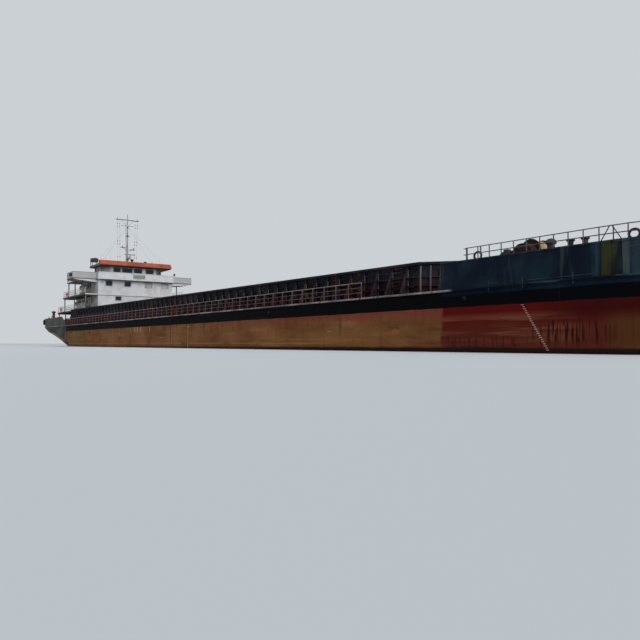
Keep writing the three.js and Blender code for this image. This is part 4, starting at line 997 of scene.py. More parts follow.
for side, hand in SIDES:
    cx, cy, foot, axis = WINDLASS["x"], hand * WINDLASS["y"], WINDLASS["deck"], WINDLASS["axis"]
    gear = Steelwork(MACHINE_RUST)
    for y in (cy - 0.75, cy + 0.75):
        for half, low, high in ((0.14, 0, 0.05), (0.03, 0.05, 0.13), (0.14, 0.13, 0.16)):
            gear.about(45.55, y, 1.85, half, foot + low, foot + high)
    for x in (43.9, 45.3, 47.2):
        gear.about(x, cy, 0.08, 0.75, foot, foot + 0.15)
    for end in HANDS:
        inner = cy + end * WINDLASS["cheek"]
        outline = [(45.35, foot + 0.1), (47.25, foot + 0.1), (46.95, foot + 0.62), (46.72, axis + 0.12)]
        outline += arc(cx, axis + 0.04, 0.26, 0.26, (0.5, 1.0, 1.57, 2.14, 2.64))
        outline += [(45.88, axis + 0.12), (45.65, foot + 0.62)]
        gear.prism("y", outline, inner, inner + end * 0.05)
        gear.turned((cx, inner, axis), [(0.05, 0.24), (0.16, 0.24), (0.16, 0.2), (0.18, 0.19)],
                    (0, end, 0), 20)
        leg = inner + end * 0.09
        for tilt in (-0.62, 0.62):
            gear.bar((cx + tilt, leg, foot + 0.1), (cx + tilt * 0.35, leg, axis - 0.2), 0.12, 0.04,
                     up=(1, 0, 0))
    case = cy + hand * 0.78
    outline = [(45.3, foot), (46.95, foot), (46.95, axis - 0.1)]
    outline += arc(cx, axis - 0.12, 0.62, 0.47, (0.3, 0.8, 1.2, 1.57, 1.95, 2.35, 2.8))
    outline += [(45.3, axis - 0.1)]
    gear.prism("y", outline, case, case + hand * 0.52)
    gear.prism("y", [(x + (x - cx) * 0.05, z) for x, z in outline], case + hand * 0.2, case + hand * 0.26)
    gear.turned((cx, case + hand * 0.52, axis), [(0, 0.2), (0.08, 0.2), (0.08, 0.1), (0.1, 0.09)],
                (0, hand, 0), 18)
    # The motor with its cooling ribs and terminal box, and the control stand.
    gear.wears(DARK_PAINT)
    gear.turned((43.95, cy, axis - 0.1), MOTOR, (1, 0, 0), 22)
    for k in range(7):
        gear.turned((44.05 + k * 0.09, cy, axis - 0.1), [(0, 0.34), (0.02, 0.34)], (1, 0, 0), 22)
    gear.about(44.325, cy, 0.225, 0.28, foot + 0.14, axis - 0.32)
    gear.about(44.325, cy, 0.175, 0.14, axis + 0.18, axis + 0.34)
    gear.about(43.71, cy - 0.3, 0.09, 0.2, foot + 0.16, foot + 0.9)
    gear.wears(FLANGE_PAINT)
    gear.about(43.6, cy - 0.3, 0.04, 0.16, foot + 0.55, foot + 0.86)
    stand = cy + hand * 0.5
    gear.rod(44.9, stand, (foot + 0.1, axis + 0.12), 0.03)
    gear.about(44.9, stand, 0.1, 0.12, axis - 0.1, axis + 0.14)
    # The brake's screw and handwheel.
    gear.wears(MACHINE_RUST)
    wheel = (45.35, cy - hand * 0.3, axis + 0.42)
    gear.pipe([(45.5, cy - hand * 0.3, foot + 0.16), wheel], 0.03)
    gear.pipe(hoop(*wheel, 0.24, circle(20), lying=True), 0.022, loop=True)
    for rim in hoop(*wheel, 0.24, (0.3, 2.39, 4.49), lying=True):
        gear.pipe([wheel, rim], 0.016, 6)
    gear.fitted(f"windlass_bed_{side}", slot="rusty_steel", replaces=[f"windlass_frame_{side}"], bevel=0.012)

    drum = Steelwork(MACHINE_RUST)
    drum.turned((cx, cy, axis), DRUM_HALF + [(-h, r) for h, r in reversed(DRUM_HALF)], (0, 1, 0), 40)
    for end in (-0.56, 0.53):
        for boss in hoop(cx, cy + end, axis, 0.4, circle(8)):
            drum.turned(boss, [(0, 0.06), (0.03, 0.06)], (0, 1, 0), 10)
    drum.fitted(f"windlass_drum_body_{side}", f"windlass_drum_{side}", "rusty_steel",
                [f"windlass_drum_{side}"],
                bevel=0.01)
    turns, steps_a_turn = 11, 22
    coil = []
    for k in range(turns * steps_a_turn + 1):
        a = 2 * math.pi * k / steps_a_turn
        layer = 0.535 + 0.012 * math.sin(3.1 * a / math.pi)
        coil += hoop(cx, cy - 0.4 + 0.8 * k / (turns * steps_a_turn), axis, layer, (a,))
    Steelwork(ROPE).pipe(coil, 0.038, 7).fitted(f"windlass_rope_{side}", f"windlass_drum_{side}")


# Anchor chain: round-wire links laid from the windlass to the hawse pipe, through an iron stopper. The
# hawse's lip is a turned steel ring welded to the deck.
def chain_tree():
    """Links of round wire along the base's path, every second one turned a quarter."""
    g = Growth("chain", Pitch="Float", Wire="Float")
    pitch = g.given["Pitch"]
    loop = g.make("CurvePrimitiveCircle", Resolution=12, Radius=g.math("MULTIPLY", pitch, 0.52))
    oval = g.make("Transform", Geometry=loop, Scale=(0.62, 1.25, 1))
    upright = g.make("Transform", Geometry=oval, Rotation=(math.pi / 2, 0, 0))
    wire = g.make("CurvePrimitiveCircle", Resolution=6, Radius=g.given["Wire"])
    link = g.make("CurveToMesh", Curve=upright, Profile_Curve=wire)
    path = g.make("MeshToCurve", Mesh=g.given["Base"])
    points = g.add("GeometryNodeCurveToPoints", {"mode": "LENGTH"}, Curve=path, Length=pitch).outputs
    quarter = g.math("MULTIPLY", g.math("MODULO", g.make("InputIndex"), 2.0), math.pi / 2)
    turn = g.add("FunctionNodeAxisAngleToRotation", Axis=(0, 0, 1), Angle=quarter).outputs[0]
    spun = g.add("FunctionNodeRotateRotation", {"rotation_space": "LOCAL"}, Rotation=points["Rotation"],
                 Rotate_By=turn).outputs[0]
    return g.close(g.make("InstanceOnPoints", Points=points[0], Instance=link, Rotation=spun))


CHAIN = chain_tree()
CHAIN_PITCH, CHAIN_WIRE = 0.17, 0.026
HAWSE_X = 55.6
HAWSE_LIP = [(0, 0.34), (0.05, 0.34), (0.12, 0.26), (0.12, 0.2), (0.02, 0.18)]
WARPING_HEAD = [(0, 0.1), (0.12, 0.2), (0.58, 0.2), (0.7, 0.1)]

hawse = Steelwork(DARK_PAINT)
deck = WINDLASS["deck"]
for side, hand in SIDES:
    y = hand * 5.0
    lead = [(x, y, deck + rise)
            for x, rise in ((47.3, 0.22), (48.2, 0.07), (50.5, 0.07), (54.8, 0.07), (55.3, 0.1),
                            (HAWSE_X, 0.05), (HAWSE_X + 0.2, -0.05))]
    path = bpy.data.meshes.new("path")
    path.from_pydata(lead, [(k, k + 1) for k in range(len(lead) - 1)], [])
    fit(f"anchor_chain_{side}", CHAIN.grow(path, Pitch=CHAIN_PITCH, Wire=CHAIN_WIRE, Finish=MACHINE_RUST),
        slot="rusty_steel")
    hawse.turned((HAWSE_X + 0.15, y, deck), HAWSE_LIP, (0.25, 0, 1), 22)
    hawse.about(50.5, y, 0.5, 0.3, deck, deck + 0.04)
    for end in (-0.22, 0.22):
        hawse.web("y", [(50.2, deck), (50.8, deck), (50.65, deck + 0.3), (50.35, deck + 0.3)], y + end, 0.03)
    hawse.rod(50.5, (y - 0.28, y + 0.28), deck + 0.24, 0.03)
    hawse.turned((47.35, y - 0.35, deck + 0.3), WARPING_HEAD, (0, 1, 0), 16)
hawse.fitted("hawse_pipes", slot="dark_paint", bevel=0.01)

# Twin bollards: thick pipe with dished caps and a cross bar through each, welded to a base plate.
BOLLARDS = (("fore", 50.7, 8.9, 6.563), ("aft", -55.0, 8.2, 5.403))
BOLLARD = [(0.08, 0.17), (0.11, 0.14), (0.6, 0.13), (0.7, 0.14), (0.74, 0.2), (0.78, 0.21), (0.82, 0.18),
           (0.84, 0.1)]
for name, middle, offset, foot in BOLLARDS:
    for side, hand in SIDES:
        y = hand * offset
        pair = Steelwork(DARK_PAINT).about(middle, y, 0.65, 0.22, foot, foot + 0.08)
        for x in (middle - 0.38, middle + 0.38):
            pair.turned((x, y, foot), BOLLARD, sides=22)
            pair.rod((x - 0.24, x + 0.24), y, foot + 0.5, 0.03)
        pair.fitted(f"bollard_pair_{name}_{side}", slot="dark_paint",
                    replaces=[f"bollards_{name}_{side}"], bevel=0.012)

# Mushroom ventilators: a pipe with a flange, and a domed head that screws down on a spindle.
# Columns: name, X, Y, foot, height, radius.
VENTS = (("ventilator_fore_starboard", 48.9, -8.4, 6.563, 0.95, 0.16),
         ("ventilator_fore_port", 48.9, 8.4, 6.563, 0.95, 0.16),
         ("ventilator_aft", -53.2, -9.1, 5.403, 2.7, 0.22))
RED_PAINT = weathered("fire red", (102, 36, 34), (86, 40, 38), (66, 38, 32), 0.6, 0.5)
# The head's profile. Columns: height over the foot of the dome, share of the pipe's radius.
VENT_HEAD = ((-0.2, 1), (-0.2, 1.12), (-0.14, 1.12), (-0.14, 1.6), (-0.1, 1.7), (0, 1.68),
             (0.06, 1.45), (0.11, 1),
             (0.14, 0.4))
for name, x, y, foot, h, r in VENTS:
    after = name == "ventilator_aft"
    vent = Steelwork(RED_PAINT if after else DARK_PAINT)
    head = [(h + rise, r * share) for rise, share in VENT_HEAD]
    vent.turned((x, y, foot), [(0, r * 1.35), (0.04, r * 1.35), (0.04, r), *head], sides=26)
    vent.rod(x, y, (foot + h + 0.12, foot + h + 0.17), 0.02)
    for lug in arc(x, y, r * 1.05, r * 1.05, [math.pi * (0.25 + k / 2) for k in range(4)]):
        vent.bar((*lug, foot + h * 0.5), (*lug, foot + h - 0.12), 0.03)
    vent.fitted(name + "_mushroom", slot="rusty_steel" if after else "dark_paint", replaces=[name],
                bevel=0.008)

# Booby hatches: a low coaming with a hinged steel lid, held down by dogs on the lid and a grip on top.
HATCH = {"half": 0.5, "rim": 0.5, "barrel": 0.07, "gap": 0.055, "lid": 0.07}
HATCHES = (("fore", 50.0, 0.0, 6.563), ("aft", -56.2, 2.5, 5.403))
wear(DARK_PAINT, "hatch_fore", "hatch_aft")
for name, x, y, foot in HATCHES:
    h, rim = HATCH["half"], foot + HATCH["rim"]
    low, high = rim + HATCH["gap"], rim + HATCH["gap"] + HATCH["lid"]
    hinge, strap = x - h - HATCH["barrel"] - 0.003, x - h + 0.2
    lid = Steelwork(DARK_PAINT)
    lid.about(x + 0.01, y, h + 0.04, h + 0.03, low, high - 0.02)
    lid.about(x, y, h * 0.8, h * 0.8, high - 0.02, high)
    lid.rod(hinge, (y - h * 0.8, y + h * 0.8), rim - 0.02, HATCH["barrel"] * 0.8, 14)
    for end in (-0.55, 0.55):
        lid.web("y", [(hinge - 0.05, rim - 0.02), (hinge + 0.05, rim - 0.02), (hinge + 0.1, low),
                      (strap, low),
                      (strap, high), (hinge - 0.05, high)], y + end * h, 0.06)
    lid.wears(FORE_RAIL)
    lid.pipe(staple((x + 0.1, y - 0.15, high), (x + 0.1, y + 0.15, high), (0, 0, 0.05)), 0.014)
    for dx, dy in ((0.45, 0.3), (0.45, -0.3), (0.1, 0.48), (0.1, -0.48)):
        lid.turned((x + dx, y + dy, high - 0.02), [(0, 0.035), (0.05, 0.035)], sides=10)
        lid.bar((x + dx, y + dy, high + 0.03), (x + dx * 1.12, y + dy * 1.1, high + 0.03), 0.03, 0.02)
    lid.fitted(f"hatch_cover_{name}", f"hatch_lid_{name}", "dark_paint", [f"hatch_lid_{name}"], bevel=0.01)

# Stockless anchors, cast steel, drawn up into lined pockets in the bow.
ANCHOR = {"x": 57.003, "y": 4.2, "foot": 3.65, "top": 4.9, "half": 0.55}
ANCHOR_IRON = weathered("anchor iron", (44, 42, 44), (66, 54, 50), (112, 62, 40), 0.9, 0.7)
# A fluke's sections. Columns: share of its length, half width, half thickness.
FLUKE = ((0, 0.15, 0.09), (0.3, 0.16, 0.08), (0.65, 0.11, 0.06), (0.9, 0.04, 0.03), (1.0, 0.01, 0.015))
for side, hand in SIDES:
    y, back, foot, top = hand * ANCHOR["y"], ANCHOR["x"], ANCHOR["foot"], ANCHOR["top"]
    iron = Steelwork(ANCHOR_IRON)
    shank = ((-0.09, -0.1), (0.09, -0.1), (0.09, 0.1), (-0.09, 0.1))
    iron.skin([[(back + 0.1 + dx * s, y + dy * s, z) for dx, dy in shank]
               for z, s in ((foot + 0.1, 1.1), (top - 0.2, 0.8), (top, 0.75))])
    crown = arc(0, 0, ANCHOR["half"], 0.13, circle(20))
    iron.skin([[(back + dx, y + cy * s, foot + 0.13 + cz * s) for cy, cz in crown]
               for dx, s in ((0.02, 1.0), (0.3, 1.0), (0.42, 0.7))])
    for end in HANDS:
        rings = []
        for t, wide, thick in FLUKE:
            middle = Vector((back + 0.27 - 0.03 * t, y + end * (0.36 + 0.06 * t), foot + 0.16 + 0.84 * t))
            rings.append([middle + Vector((thick * math.sin(a), wide * math.cos(a), 0)) for a in circle(12)])
        iron.skin(rings)
    iron.fitted(f"stockless_anchor_{side}", slot="dark_paint", replaces=[f"anchor_{side}"],
                bevel=0.012, angle=40)

# The stern bulwark: grey-green plate round the after deck, with a pipe cap, brackets inside and pipe
# hoops over its mooring ports.
STERN_BULWARK = {"top": 6.86, "fore": -41.4, "slope": 2.2, "thick": 0.1}
STERN_PLAN = (-55.5, -59.0, 6.0)
GREEN_PAINT = weathered("grey-green paint", (56, 60, 54), (80, 82, 74), (88, 52, 38), 0.8, 0.55)
wear(GREEN_PAINT, "stern_bulwark")
stern = Steelwork(GREEN_PAINT)
s_top, s_fore = STERN_BULWARK["top"], STERN_BULWARK["fore"]
s_aft = s_fore - STERN_BULWARK["slope"]
cap_line = [(s_aft, SIDE - 0.05)] + plan_corner(*STERN_PLAN, SIDE - 0.05)
for hand in HANDS:
    stern.pipe([(s_fore, hand * (SIDE - 0.05), DECK + 0.5)]
               + [(x, hand * y, s_top - 0.01) for x, y in cap_line], 0.07)
    for k in range(11):
        stern.web("x", bracket(hand, SIDE - STERN_BULWARK["thick"], 0.5, 0.06, DECK, s_top - 0.06),
                  s_aft - 0.5 - k * 1.1, 0.02)
    for x, y in ((-50.5, SIDE - 0.05), (-57.3, 9.0)):
        port = arc(x, s_top, 0.45, 0.42, [math.pi * k / 10 for k in range(11)])
        stern.pipe([(px, hand * y, pz) for px, pz in port], 0.05)
stern.pipe([(STERN_PLAN[1] + 0.05, end * STERN_PLAN[2], s_top - 0.01) for end in HANDS], 0.07)
stern.fitted("stern_bulwark_cap", slot="grey_green_paint")

# Old tyres hang on short ropes over the stern quarters as fenders: black rubber, greyed by the weather.
RUBBER = weathered("tyre rubber", (30, 30, 30), (52, 50, 46), (74, 60, 50), 0.5, 0.85)
tyres = Steelwork(RUBBER)
start, end, flat = STERN_PLAN
for hand in HANDS:
    for bend, z in ((0.35, 6.3), (0.8, 6.45), (1.2, 6.3)):
        plating = Vector((start + (end - start) * math.sin(bend),
                          hand * (flat + (SIDE - flat) * math.cos(bend)), z))
        out = Vector((-math.sin(bend) / 3.5, hand * math.cos(bend) / 4.0, 0)).normalized()
        along, middle = Vector((-out.y, out.x, 0)), plating + out * 0.17
        tyres.wears(RUBBER)
        tyres.pipe([middle + along * a + Vector((0, 0, b)) for a, b in arc(0, 0, 0.36, 0.36, circle())],
                   0.145, 12,
                   loop=True)
        tyres.wears(ROPE)
        tyres.pipe([middle - out * inward + Vector((0, 0, rise)) for inward, rise in
                    ((0, 0.3), (0.03, s_top + 0.07 - z), (0.22, s_top + 0.07 - z), (0.3, s_top - 0.4 - z))],
                   0.02, 6)
tyres.fitted("tyre_fenders")

# Deck gear: fire hose boxes on legs beside the house, of painted sheet, and mooring ropes coiled down
# by the bollards.
boxes = Steelwork(RED_PAINT)
for x in (-42.4, -43.5):
    boxes.wears(RED_PAINT)
    boxes.block((x - 0.3, x + 0.3), (-9.45, -9.15), (DECK + 0.45, DECK + 1.2))
    boxes.block((x - 0.26, x + 0.26), (-9.47, -9.44), (DECK + 0.5, DECK + 1.15))
    boxes.wears(FORE_RAIL)
    for leg in (x - 0.24, x + 0.24):
        boxes.bar((leg, -9.3, DECK), (leg, -9.3, DECK + 0.5), 0.05)
boxes.fitted("hose_boxes", bevel=0.015)
ropes = Steelwork(ROPE)
for x, y, foot in ((-53.0, 7.2, 5.403), (-53.4, -7.0, 5.403), (52.3, 6.9, 6.563), (52.4, -6.9, 6.563)):
    coil = []
    for k in range(5 * 18 + 1):
        turn = k / 18
        coil += hoop(x, y, foot + 0.04 + 0.05 * turn, 0.52 - 0.035 * turn, (2 * math.pi * turn,), lying=True)
    ropes.pipe(coil, 0.036, 6)
ropes.fitted("coiled_ropes")

# The house: three storeys of white-painted plate. Streaks of rust and soot run down from the decks. The
# walls aft of the front, below the bridge deck, carry a darker yellowish painted shade, and the wings'
# bulwarks a grey painted shade. Window frames with round corners are bolted over the cut openings.
HOUSE = {"fore": -36.1, "half": 6.2}
DECK_2 = {"top": 7.9, "aft": -53.0, "fore": -35.8, "half": 8.5}
DECK_3 = {"top": 10.4, "aft": -50.0, "fore": -35.9, "half": 8.3}
BRIDGE_TOP = 12.9
STOREY_AFT = {"1": -52.4, "2": -49.4, "3": -46.2}
GREY, WORN_GREY, GREY_RUST = (84, 84, 82), (106, 104, 98), (104, 66, 50)


def lay_white_paint():
    f = Finish("house white", (188, 189, 191), 0.45)
    ramp = f.ramp
    patch = f.noise(0.5, detail=5, shift=5)
    fine = f.noise(6, detail=8, rough=0.7)
    drips = f.noise(2.4, (1, 1, 0.07), 6, shift=8)
    coat = f.coats(
        (188, 189, 191),
        ((168, 169, 170), (patch, 0.4, 0.64)),
        ((150, 138, 122), 0.45, (drips, 0.56, 0.74)),
        # Painted shade: the walls aft of the front, below the bridge deck, darker and yellowish.
        ((150, 136, 112), 0.6, (f.z, 12.9, 12.6), (f.wavering(f.x, 2.0, 0.6), -37.0, -40.0)),
        ((126, 78, 52), (fine, 0.64, 0.7), (drips, 0.5, 0.62)),
        # Painted shade: the wings' bulwarks greyer.
        ((144, 144, 146), 0.8, (f.math("ABSOLUTE", f.y), 6.3, 6.5), (f.z, 12.88, 12.92, 13.9, 14.0)))
    f.bump(f.seams(f.y, 2.4, 0.014), 0.006, 0.5)
    f.bump(fine, 0.008, 0.3)
    return f.done(coat, fine, 0.35, 0.65)


# Grey deck paint, which on the undersides of the house's decks stands for painted shade, with the front edge
# white.
def lay_shade_grey_deck_with_white_front():
    f = Finish("grey deck and painted shade with a white front", GREY, 0.6)
    fine = f.noise(5.5, detail=8, rough=0.68)
    white = f.coats((188, 190, 193), ((170, 172, 174), (fine, 0.4, 0.7)))
    f.bump(fine, 0.012, 0.4)
    return f.done(f.coats(
        GREY,
        (WORN_GREY, (f.noise(0.55, detail=6, rough=0.62, shift=5), 0.36, 0.66)),
        (GREY_RUST, (fine, 0.56, 0.68)),
        (white, (f.x, -35.97, -35.93))))


def lay_glass():
    f = Finish("window glass", (12, 30, 34), 0.08, shine=0.3)
    return f.done(f.coats((8, 36, 40), ((16, 26, 50), (f.noise(0.4, detail=2, shift=2), 0.48, 0.62))))


WHITE_PAINT = lay_white_paint()
# Grey deck paint. On the edges and undersides of the house's decks it also stands for painted shade.
SHADED_PAINT = weathered("grey deck paint and painted shade", GREY, WORN_GREY, GREY_RUST, 0.7, 0.6)
wear(WHITE_PAINT, "house_storey_1", "house_storey_2", "house_storey_3", "bridge_bulwark", "wheelhouse")
# The decks' grey undersides and edges are painted shade under the white house.
wear(SHADED_PAINT, "deck_2", "roof")
wear(lay_shade_grey_deck_with_white_front(), "deck_3", "bridge_deck")
GLASS = lay_glass()
BLIND = weathered("window blind", (164, 160, 162), (148, 142, 142), roughness=0.8)
FRAME_PAINT = weathered("window frame paint", (150, 154, 154), (126, 130, 130), (112, 74, 54), 0.5, 0.45)


def rounded(width, height, radius):
    """The outline of a rectangle with round corners, about its middle."""
    outline = []
    for corner, (sx, sy) in enumerate(((1, 1), (-1, 1), (-1, -1), (1, -1))):
        bend = [math.pi / 2 * (corner + k / 4) for k in range(5)]
        outline += arc(sx * (width / 2 - radius), sy * (height / 2 - radius), radius, radius, bend)
    return outline


def window(frames, panes, centre, out, width, height, pane=None):
    """A frame with round corners over a cut opening, and the pane in it. Out points away from the wall."""
    centre, out, up = Vector(centre), Vector(out), Vector((0, 0, 1))
    across = up.cross(out)

    def ring(outline, depth):
        return [centre + across * a + up * b + out * depth for a, b in outline]
    flange, clear = rounded(width + 0.12, height + 0.12, 0.08), rounded(width - 0.1, height - 0.1, 0.13)
    sleeve, edge = rounded(width - 0.02, height - 0.02, 0.05), rounded(width - 0.06, height - 0.06, 0.12)
    frames.skin([ring(flange, 0.003), ring(flange, 0.035), ring(clear, 0.05), ring(clear, -0.12),
                 ring(sleeve, -0.12), ring(sleeve, 0.003)], loop=True)
    panes.wears(pane or GLASS).skin([ring(edge, -0.07), ring(edge, -0.05)])
    brow, half = centre + up * (height / 2 + 0.1) + out * 0.03, across * (width / 2 + 0.06)
    frames.bar(brow - half, brow + half, 0.06, 0.02)


# Front windows by storey. Columns: centre Y, width, sill, head.
FRONT_WINDOWS = ((-2.95, 1.0, 9.45, 10.15), (-4.5, 1.1, 11.76, 12.6), (-1.45, 1.1, 11.76, 12.6),
                 (2.1, 1.2, 11.76, 12.6), (4.95, 1.2, 11.76, 12.6))
# Side windows by storey: their centres in X, and width, sill, head.
SIDE_WINDOWS = (((-49.8, -47.6, -41.5, -39), 0.9, 6.7, 7.4), ((-47.2, -42.5, -39.5), 0.8, 9.1, 9.9),
                ((-43.6, -40.4), 0.9, 11.7, 12.5))
frames, panes = Steelwork(FRAME_PAINT), Steelwork(GLASS)
for y, width, sill, head in FRONT_WINDOWS:
    window(frames, panes, (HOUSE["fore"], y, (sill + head) / 2), (1, 0, 0), width, head - sill,
           BLIND if y > 2 else None)
for centres, width, sill, head in SIDE_WINDOWS:
    for x in centres:
        for hand in HANDS:
            window(frames, panes, (x, hand * HOUSE["half"], (sill + head) / 2), (0, hand, 0), width,
                   head - sill)
frames.fitted("house_window_frames", slot="white_paint")
panes.fitted("house_window_panes")

# The engine room's skylight, before the house: a low casing of plate welded round the opening in the
# deck, with hinged flaps and a round scuttle in each.
SKYLIGHT = {"aft": -36.09, "fore": -34.9, "half": 5.72, "top": 5.85, "flaps": 8}
skylight = Steelwork(SHADED_PAINT)
aft, fore, half, top = (SKYLIGHT[key] for key in ("aft", "fore", "half", "top"))
skylight.block((fore - 0.06, fore), (-half, half), (DECK, top))
for hand in HANDS:
    skylight.block((aft, fore), span(hand, half, half - 0.06), (DECK, top))
skylight.block((aft, fore + 0.04), (-half - 0.04, half + 0.04), (top, top + 0.04))
for k in range(SKYLIGHT["flaps"]):
    wide = 2 * half / SKYLIGHT["flaps"]
    y, lid = -half + wide * (k + 0.5), top + 0.04
    skylight.wears(SHADED_PAINT)
    skylight.block((aft + 0.1, fore - 0.08), (y - wide / 2 + 0.06, y + wide / 2 - 0.06), (lid, lid + 0.05))
    skylight.pipe(staple((fore - 0.12, y - 0.12, lid + 0.05), (fore - 0.12, y + 0.12, lid + 0.05),
                         (0, 0, 0.07)),
                  0.015, 6)
    scuttle = Vector(((aft + fore) / 2, y, lid + 0.05))
    skylight.wears(FRAME_PAINT).turned(scuttle, [(0, 0.26), (0.04, 0.26), (0.04, 0.19), (0.02, 0.19)],
                                       sides=22)
    skylight.wears(GLASS).turned(scuttle, [(-0.005, 0.2), (0.02, 0.2)], sides=22)
skylight.fitted("engine_room_skylight", slot="deck_paint", bevel=0.01)

# House fittings: storm rails, vent louvres, lamps over the side decks and round scuttles in the after
# walls. Painted steel, with brass-rimmed glass in the scuttles.
STOREYS = (("1", DECK), ("2", DECK_2["top"]), ("3", DECK_3["top"]))
LAMP_GLASS = weathered("lamp glass", (210, 206, 190), (190, 186, 170), roughness=0.25)
trim = Steelwork(WHITE_PAINT)
for hand in HANDS:
    wall, y = hand * HOUSE["half"], hand * (HOUSE["half"] + 0.09)
    for storey, foot in STOREYS:
        aft, fore = STOREY_AFT[storey] + 0.3, HOUSE["fore"] - 0.3
        # The lowest rail is open at the door.
        for start, end in ((aft, -45.4), (-43.9, fore)) if storey == "1" else ((aft, fore),):
            trim.rod((start, end), y, foot + 0.98, 0.02)
            count = max(1, round((end - start) / 1.6))
            for x in (start + (end - start) * k / count for k in range(count + 1)):
                trim.rod(x, (wall, y), foot + 0.98, 0.014, 6)
        for k in range(0 if storey == "1" else 7):
            slat = [(x, y - hand * 0.05, foot + 1.55 + k * 0.07) for x in (-45.95, -45.35)]
            trim.bar(*slat, 0.06, 0.015, up=(0, hand, 1))
    for x, z in ((-44.57, DECK + 2.25), (-41.0, DECK_2["top"] + 2.1), (-38.0, DECK_3["top"] + 2.1)):
        trim.wears(WHITE_PAINT).block((x - 0.1, x + 0.1), sorted((wall, wall + hand * 0.06)),
                                      (z - 0.08, z + 0.08))
        trim.wears(LAMP_GLASS)
        trim.turned((x, wall + hand * 0.06, z), [(0, 0.08), (0.06, 0.075), (0.1, 0.04)], (0, hand, 0), 14)
        trim.wears(WHITE_PAINT)
for storey, foot in STOREYS[:2]:
    for y in (-4.4, -1.2, 2.0):
        at = Vector((STOREY_AFT[storey], y, foot + 1.5))
        trim.wears(FRAME_PAINT)
        trim.turned(at, [(-0.02, 0.24), (0.03, 0.24), (0.03, 0.17), (0.01, 0.17)], (-1, 0, 0), 22)
        trim.wears(GLASS).turned(at, [(0, 0.175), (0.035, 0.175)], (-1, 0, 0), 22)
trim.fitted("house_fittings", slot="white_paint")

# Cooling units, lockers and down pipes on the house sides: pressed sheet boxes with a round fan grille
# on brackets, lockers on the decks, and galvanised pipes clipped to the plate.
GRILLE = weathered("fan grille", (36, 38, 40), (54, 54, 54), (80, 54, 42), 0.5, 0.7)
COOLERS = ((-48.6, DECK_2["top"] + 1.5), (-44.6, DECK_2["top"] + 1.5), (-45.2, DECK_3["top"] + 1.6),
           (-41.8, DECK_3["top"] + 1.6))
DOWN_PIPES = ((-46.9, DECK, 7.6), (-46.4, DECK_2["top"], 10.1), (-43.9, DECK_2["top"], 10.1),
              (-41.0, DECK_2["top"], 12.6), (-38.2, DECK_2["top"], 12.6), (-37.2, DECK, 12.6))
LOCKERS = ((-47.9, DECK_2["top"]), (-40.9, DECK_2["top"]), (-44.2, DECK_3["top"]))
side_gear = Steelwork(WHITE_PAINT)
for hand in HANDS:
    half = HOUSE["half"]
    for x, z in COOLERS:
        side_gear.wears(WHITE_PAINT)
        side_gear.block((x - 0.42, x + 0.42), span(hand, half + 0.1, half + 0.45), (z - 0.3, z + 0.3))
        side_gear.wears(GRILLE)
        side_gear.turned((x - 0.1, hand * (half + 0.45), z), [(0, 0.24), (0.02, 0.24), (0.03, 0.2)],
                         (0, hand, 0), 18)
        for end in (x - 0.3, x + 0.3):
            side_gear.bar((end, hand * half, z - 0.32), (end, hand * (half + 0.42), z - 0.32), 0.04)
    side_gear.wears(FRAME_PAINT)
    for x, foot, head in DOWN_PIPES:
        side_gear.rod(x, hand * (half + 0.05), (foot, head), 0.045)
    side_gear.wears(SHADED_PAINT)
    for x, foot in LOCKERS:
        side_gear.block((x - 0.5, x + 0.5), span(hand, half + 0.1, half + 0.55), (foot + 0.06, foot + 0.75))
        side_gear.block((x - 0.53, x + 0.53), span(hand, half + 0.08, half + 0.58),
                        (foot + 0.75, foot + 0.79))
side_gear.fitted("house_side_gear", slot="white_paint", bevel=0.012)

# Edge bars of decks 2 and 3: a toe plate of flat bar all round, with a bracket under it every frame.
# The edge bars' grey is painted shade under the decks.
edges = Steelwork(SHADED_PAINT)
for deck in (DECK_2, DECK_3):
    half, top, aft, fore = deck["half"], deck["top"], deck["aft"], deck["fore"]
    for hand in HANDS:
        edges.block((aft, fore), span(hand, half, half - 0.05), (top - 0.16, top + 0.06))
    edges.block((aft, aft + 0.05), (-half, half), (top - 0.16, top + 0.06))
    count = round((fore - aft) / 1.2)
    for x in (aft + 0.1 + (fore - aft - 0.2) * k / count for k in range(count + 1)):
        for hand in HANDS:
            edges.block((x - 0.02, x + 0.02), span(hand, HOUSE["half"], half - 0.05),
                        (top - 0.26, top - 0.13))
edges.fitted("deck_edges", slot="deck_paint")

# Guard rails of decks 2 and 3, white pipe in three courses, open where a stair comes up at the after edge.
STAIR_GAP = (2.7, 3.7)
WHITE_RAIL = weathered("white rail paint", (188, 188, 184), (160, 156, 150), (122, 76, 56), 0.6, 0.45)
for name, deck in (("2", DECK_2), ("3", DECK_3)):
    y, aft, fore = deck["half"] - 0.08, deck["aft"] + 0.1, deck["fore"] - 0.1
    lines = [[(fore, -y), (aft, -y), (aft, STAIR_GAP[0])], [(aft, STAIR_GAP[1]), (aft, y), (fore, y)]]
    guard_rail(f"deck_{name}_guard_rail", lines, deck["top"], 1.0, 3, 0.75,
               [f"rail_deck_{name}"], WHITE_RAIL)

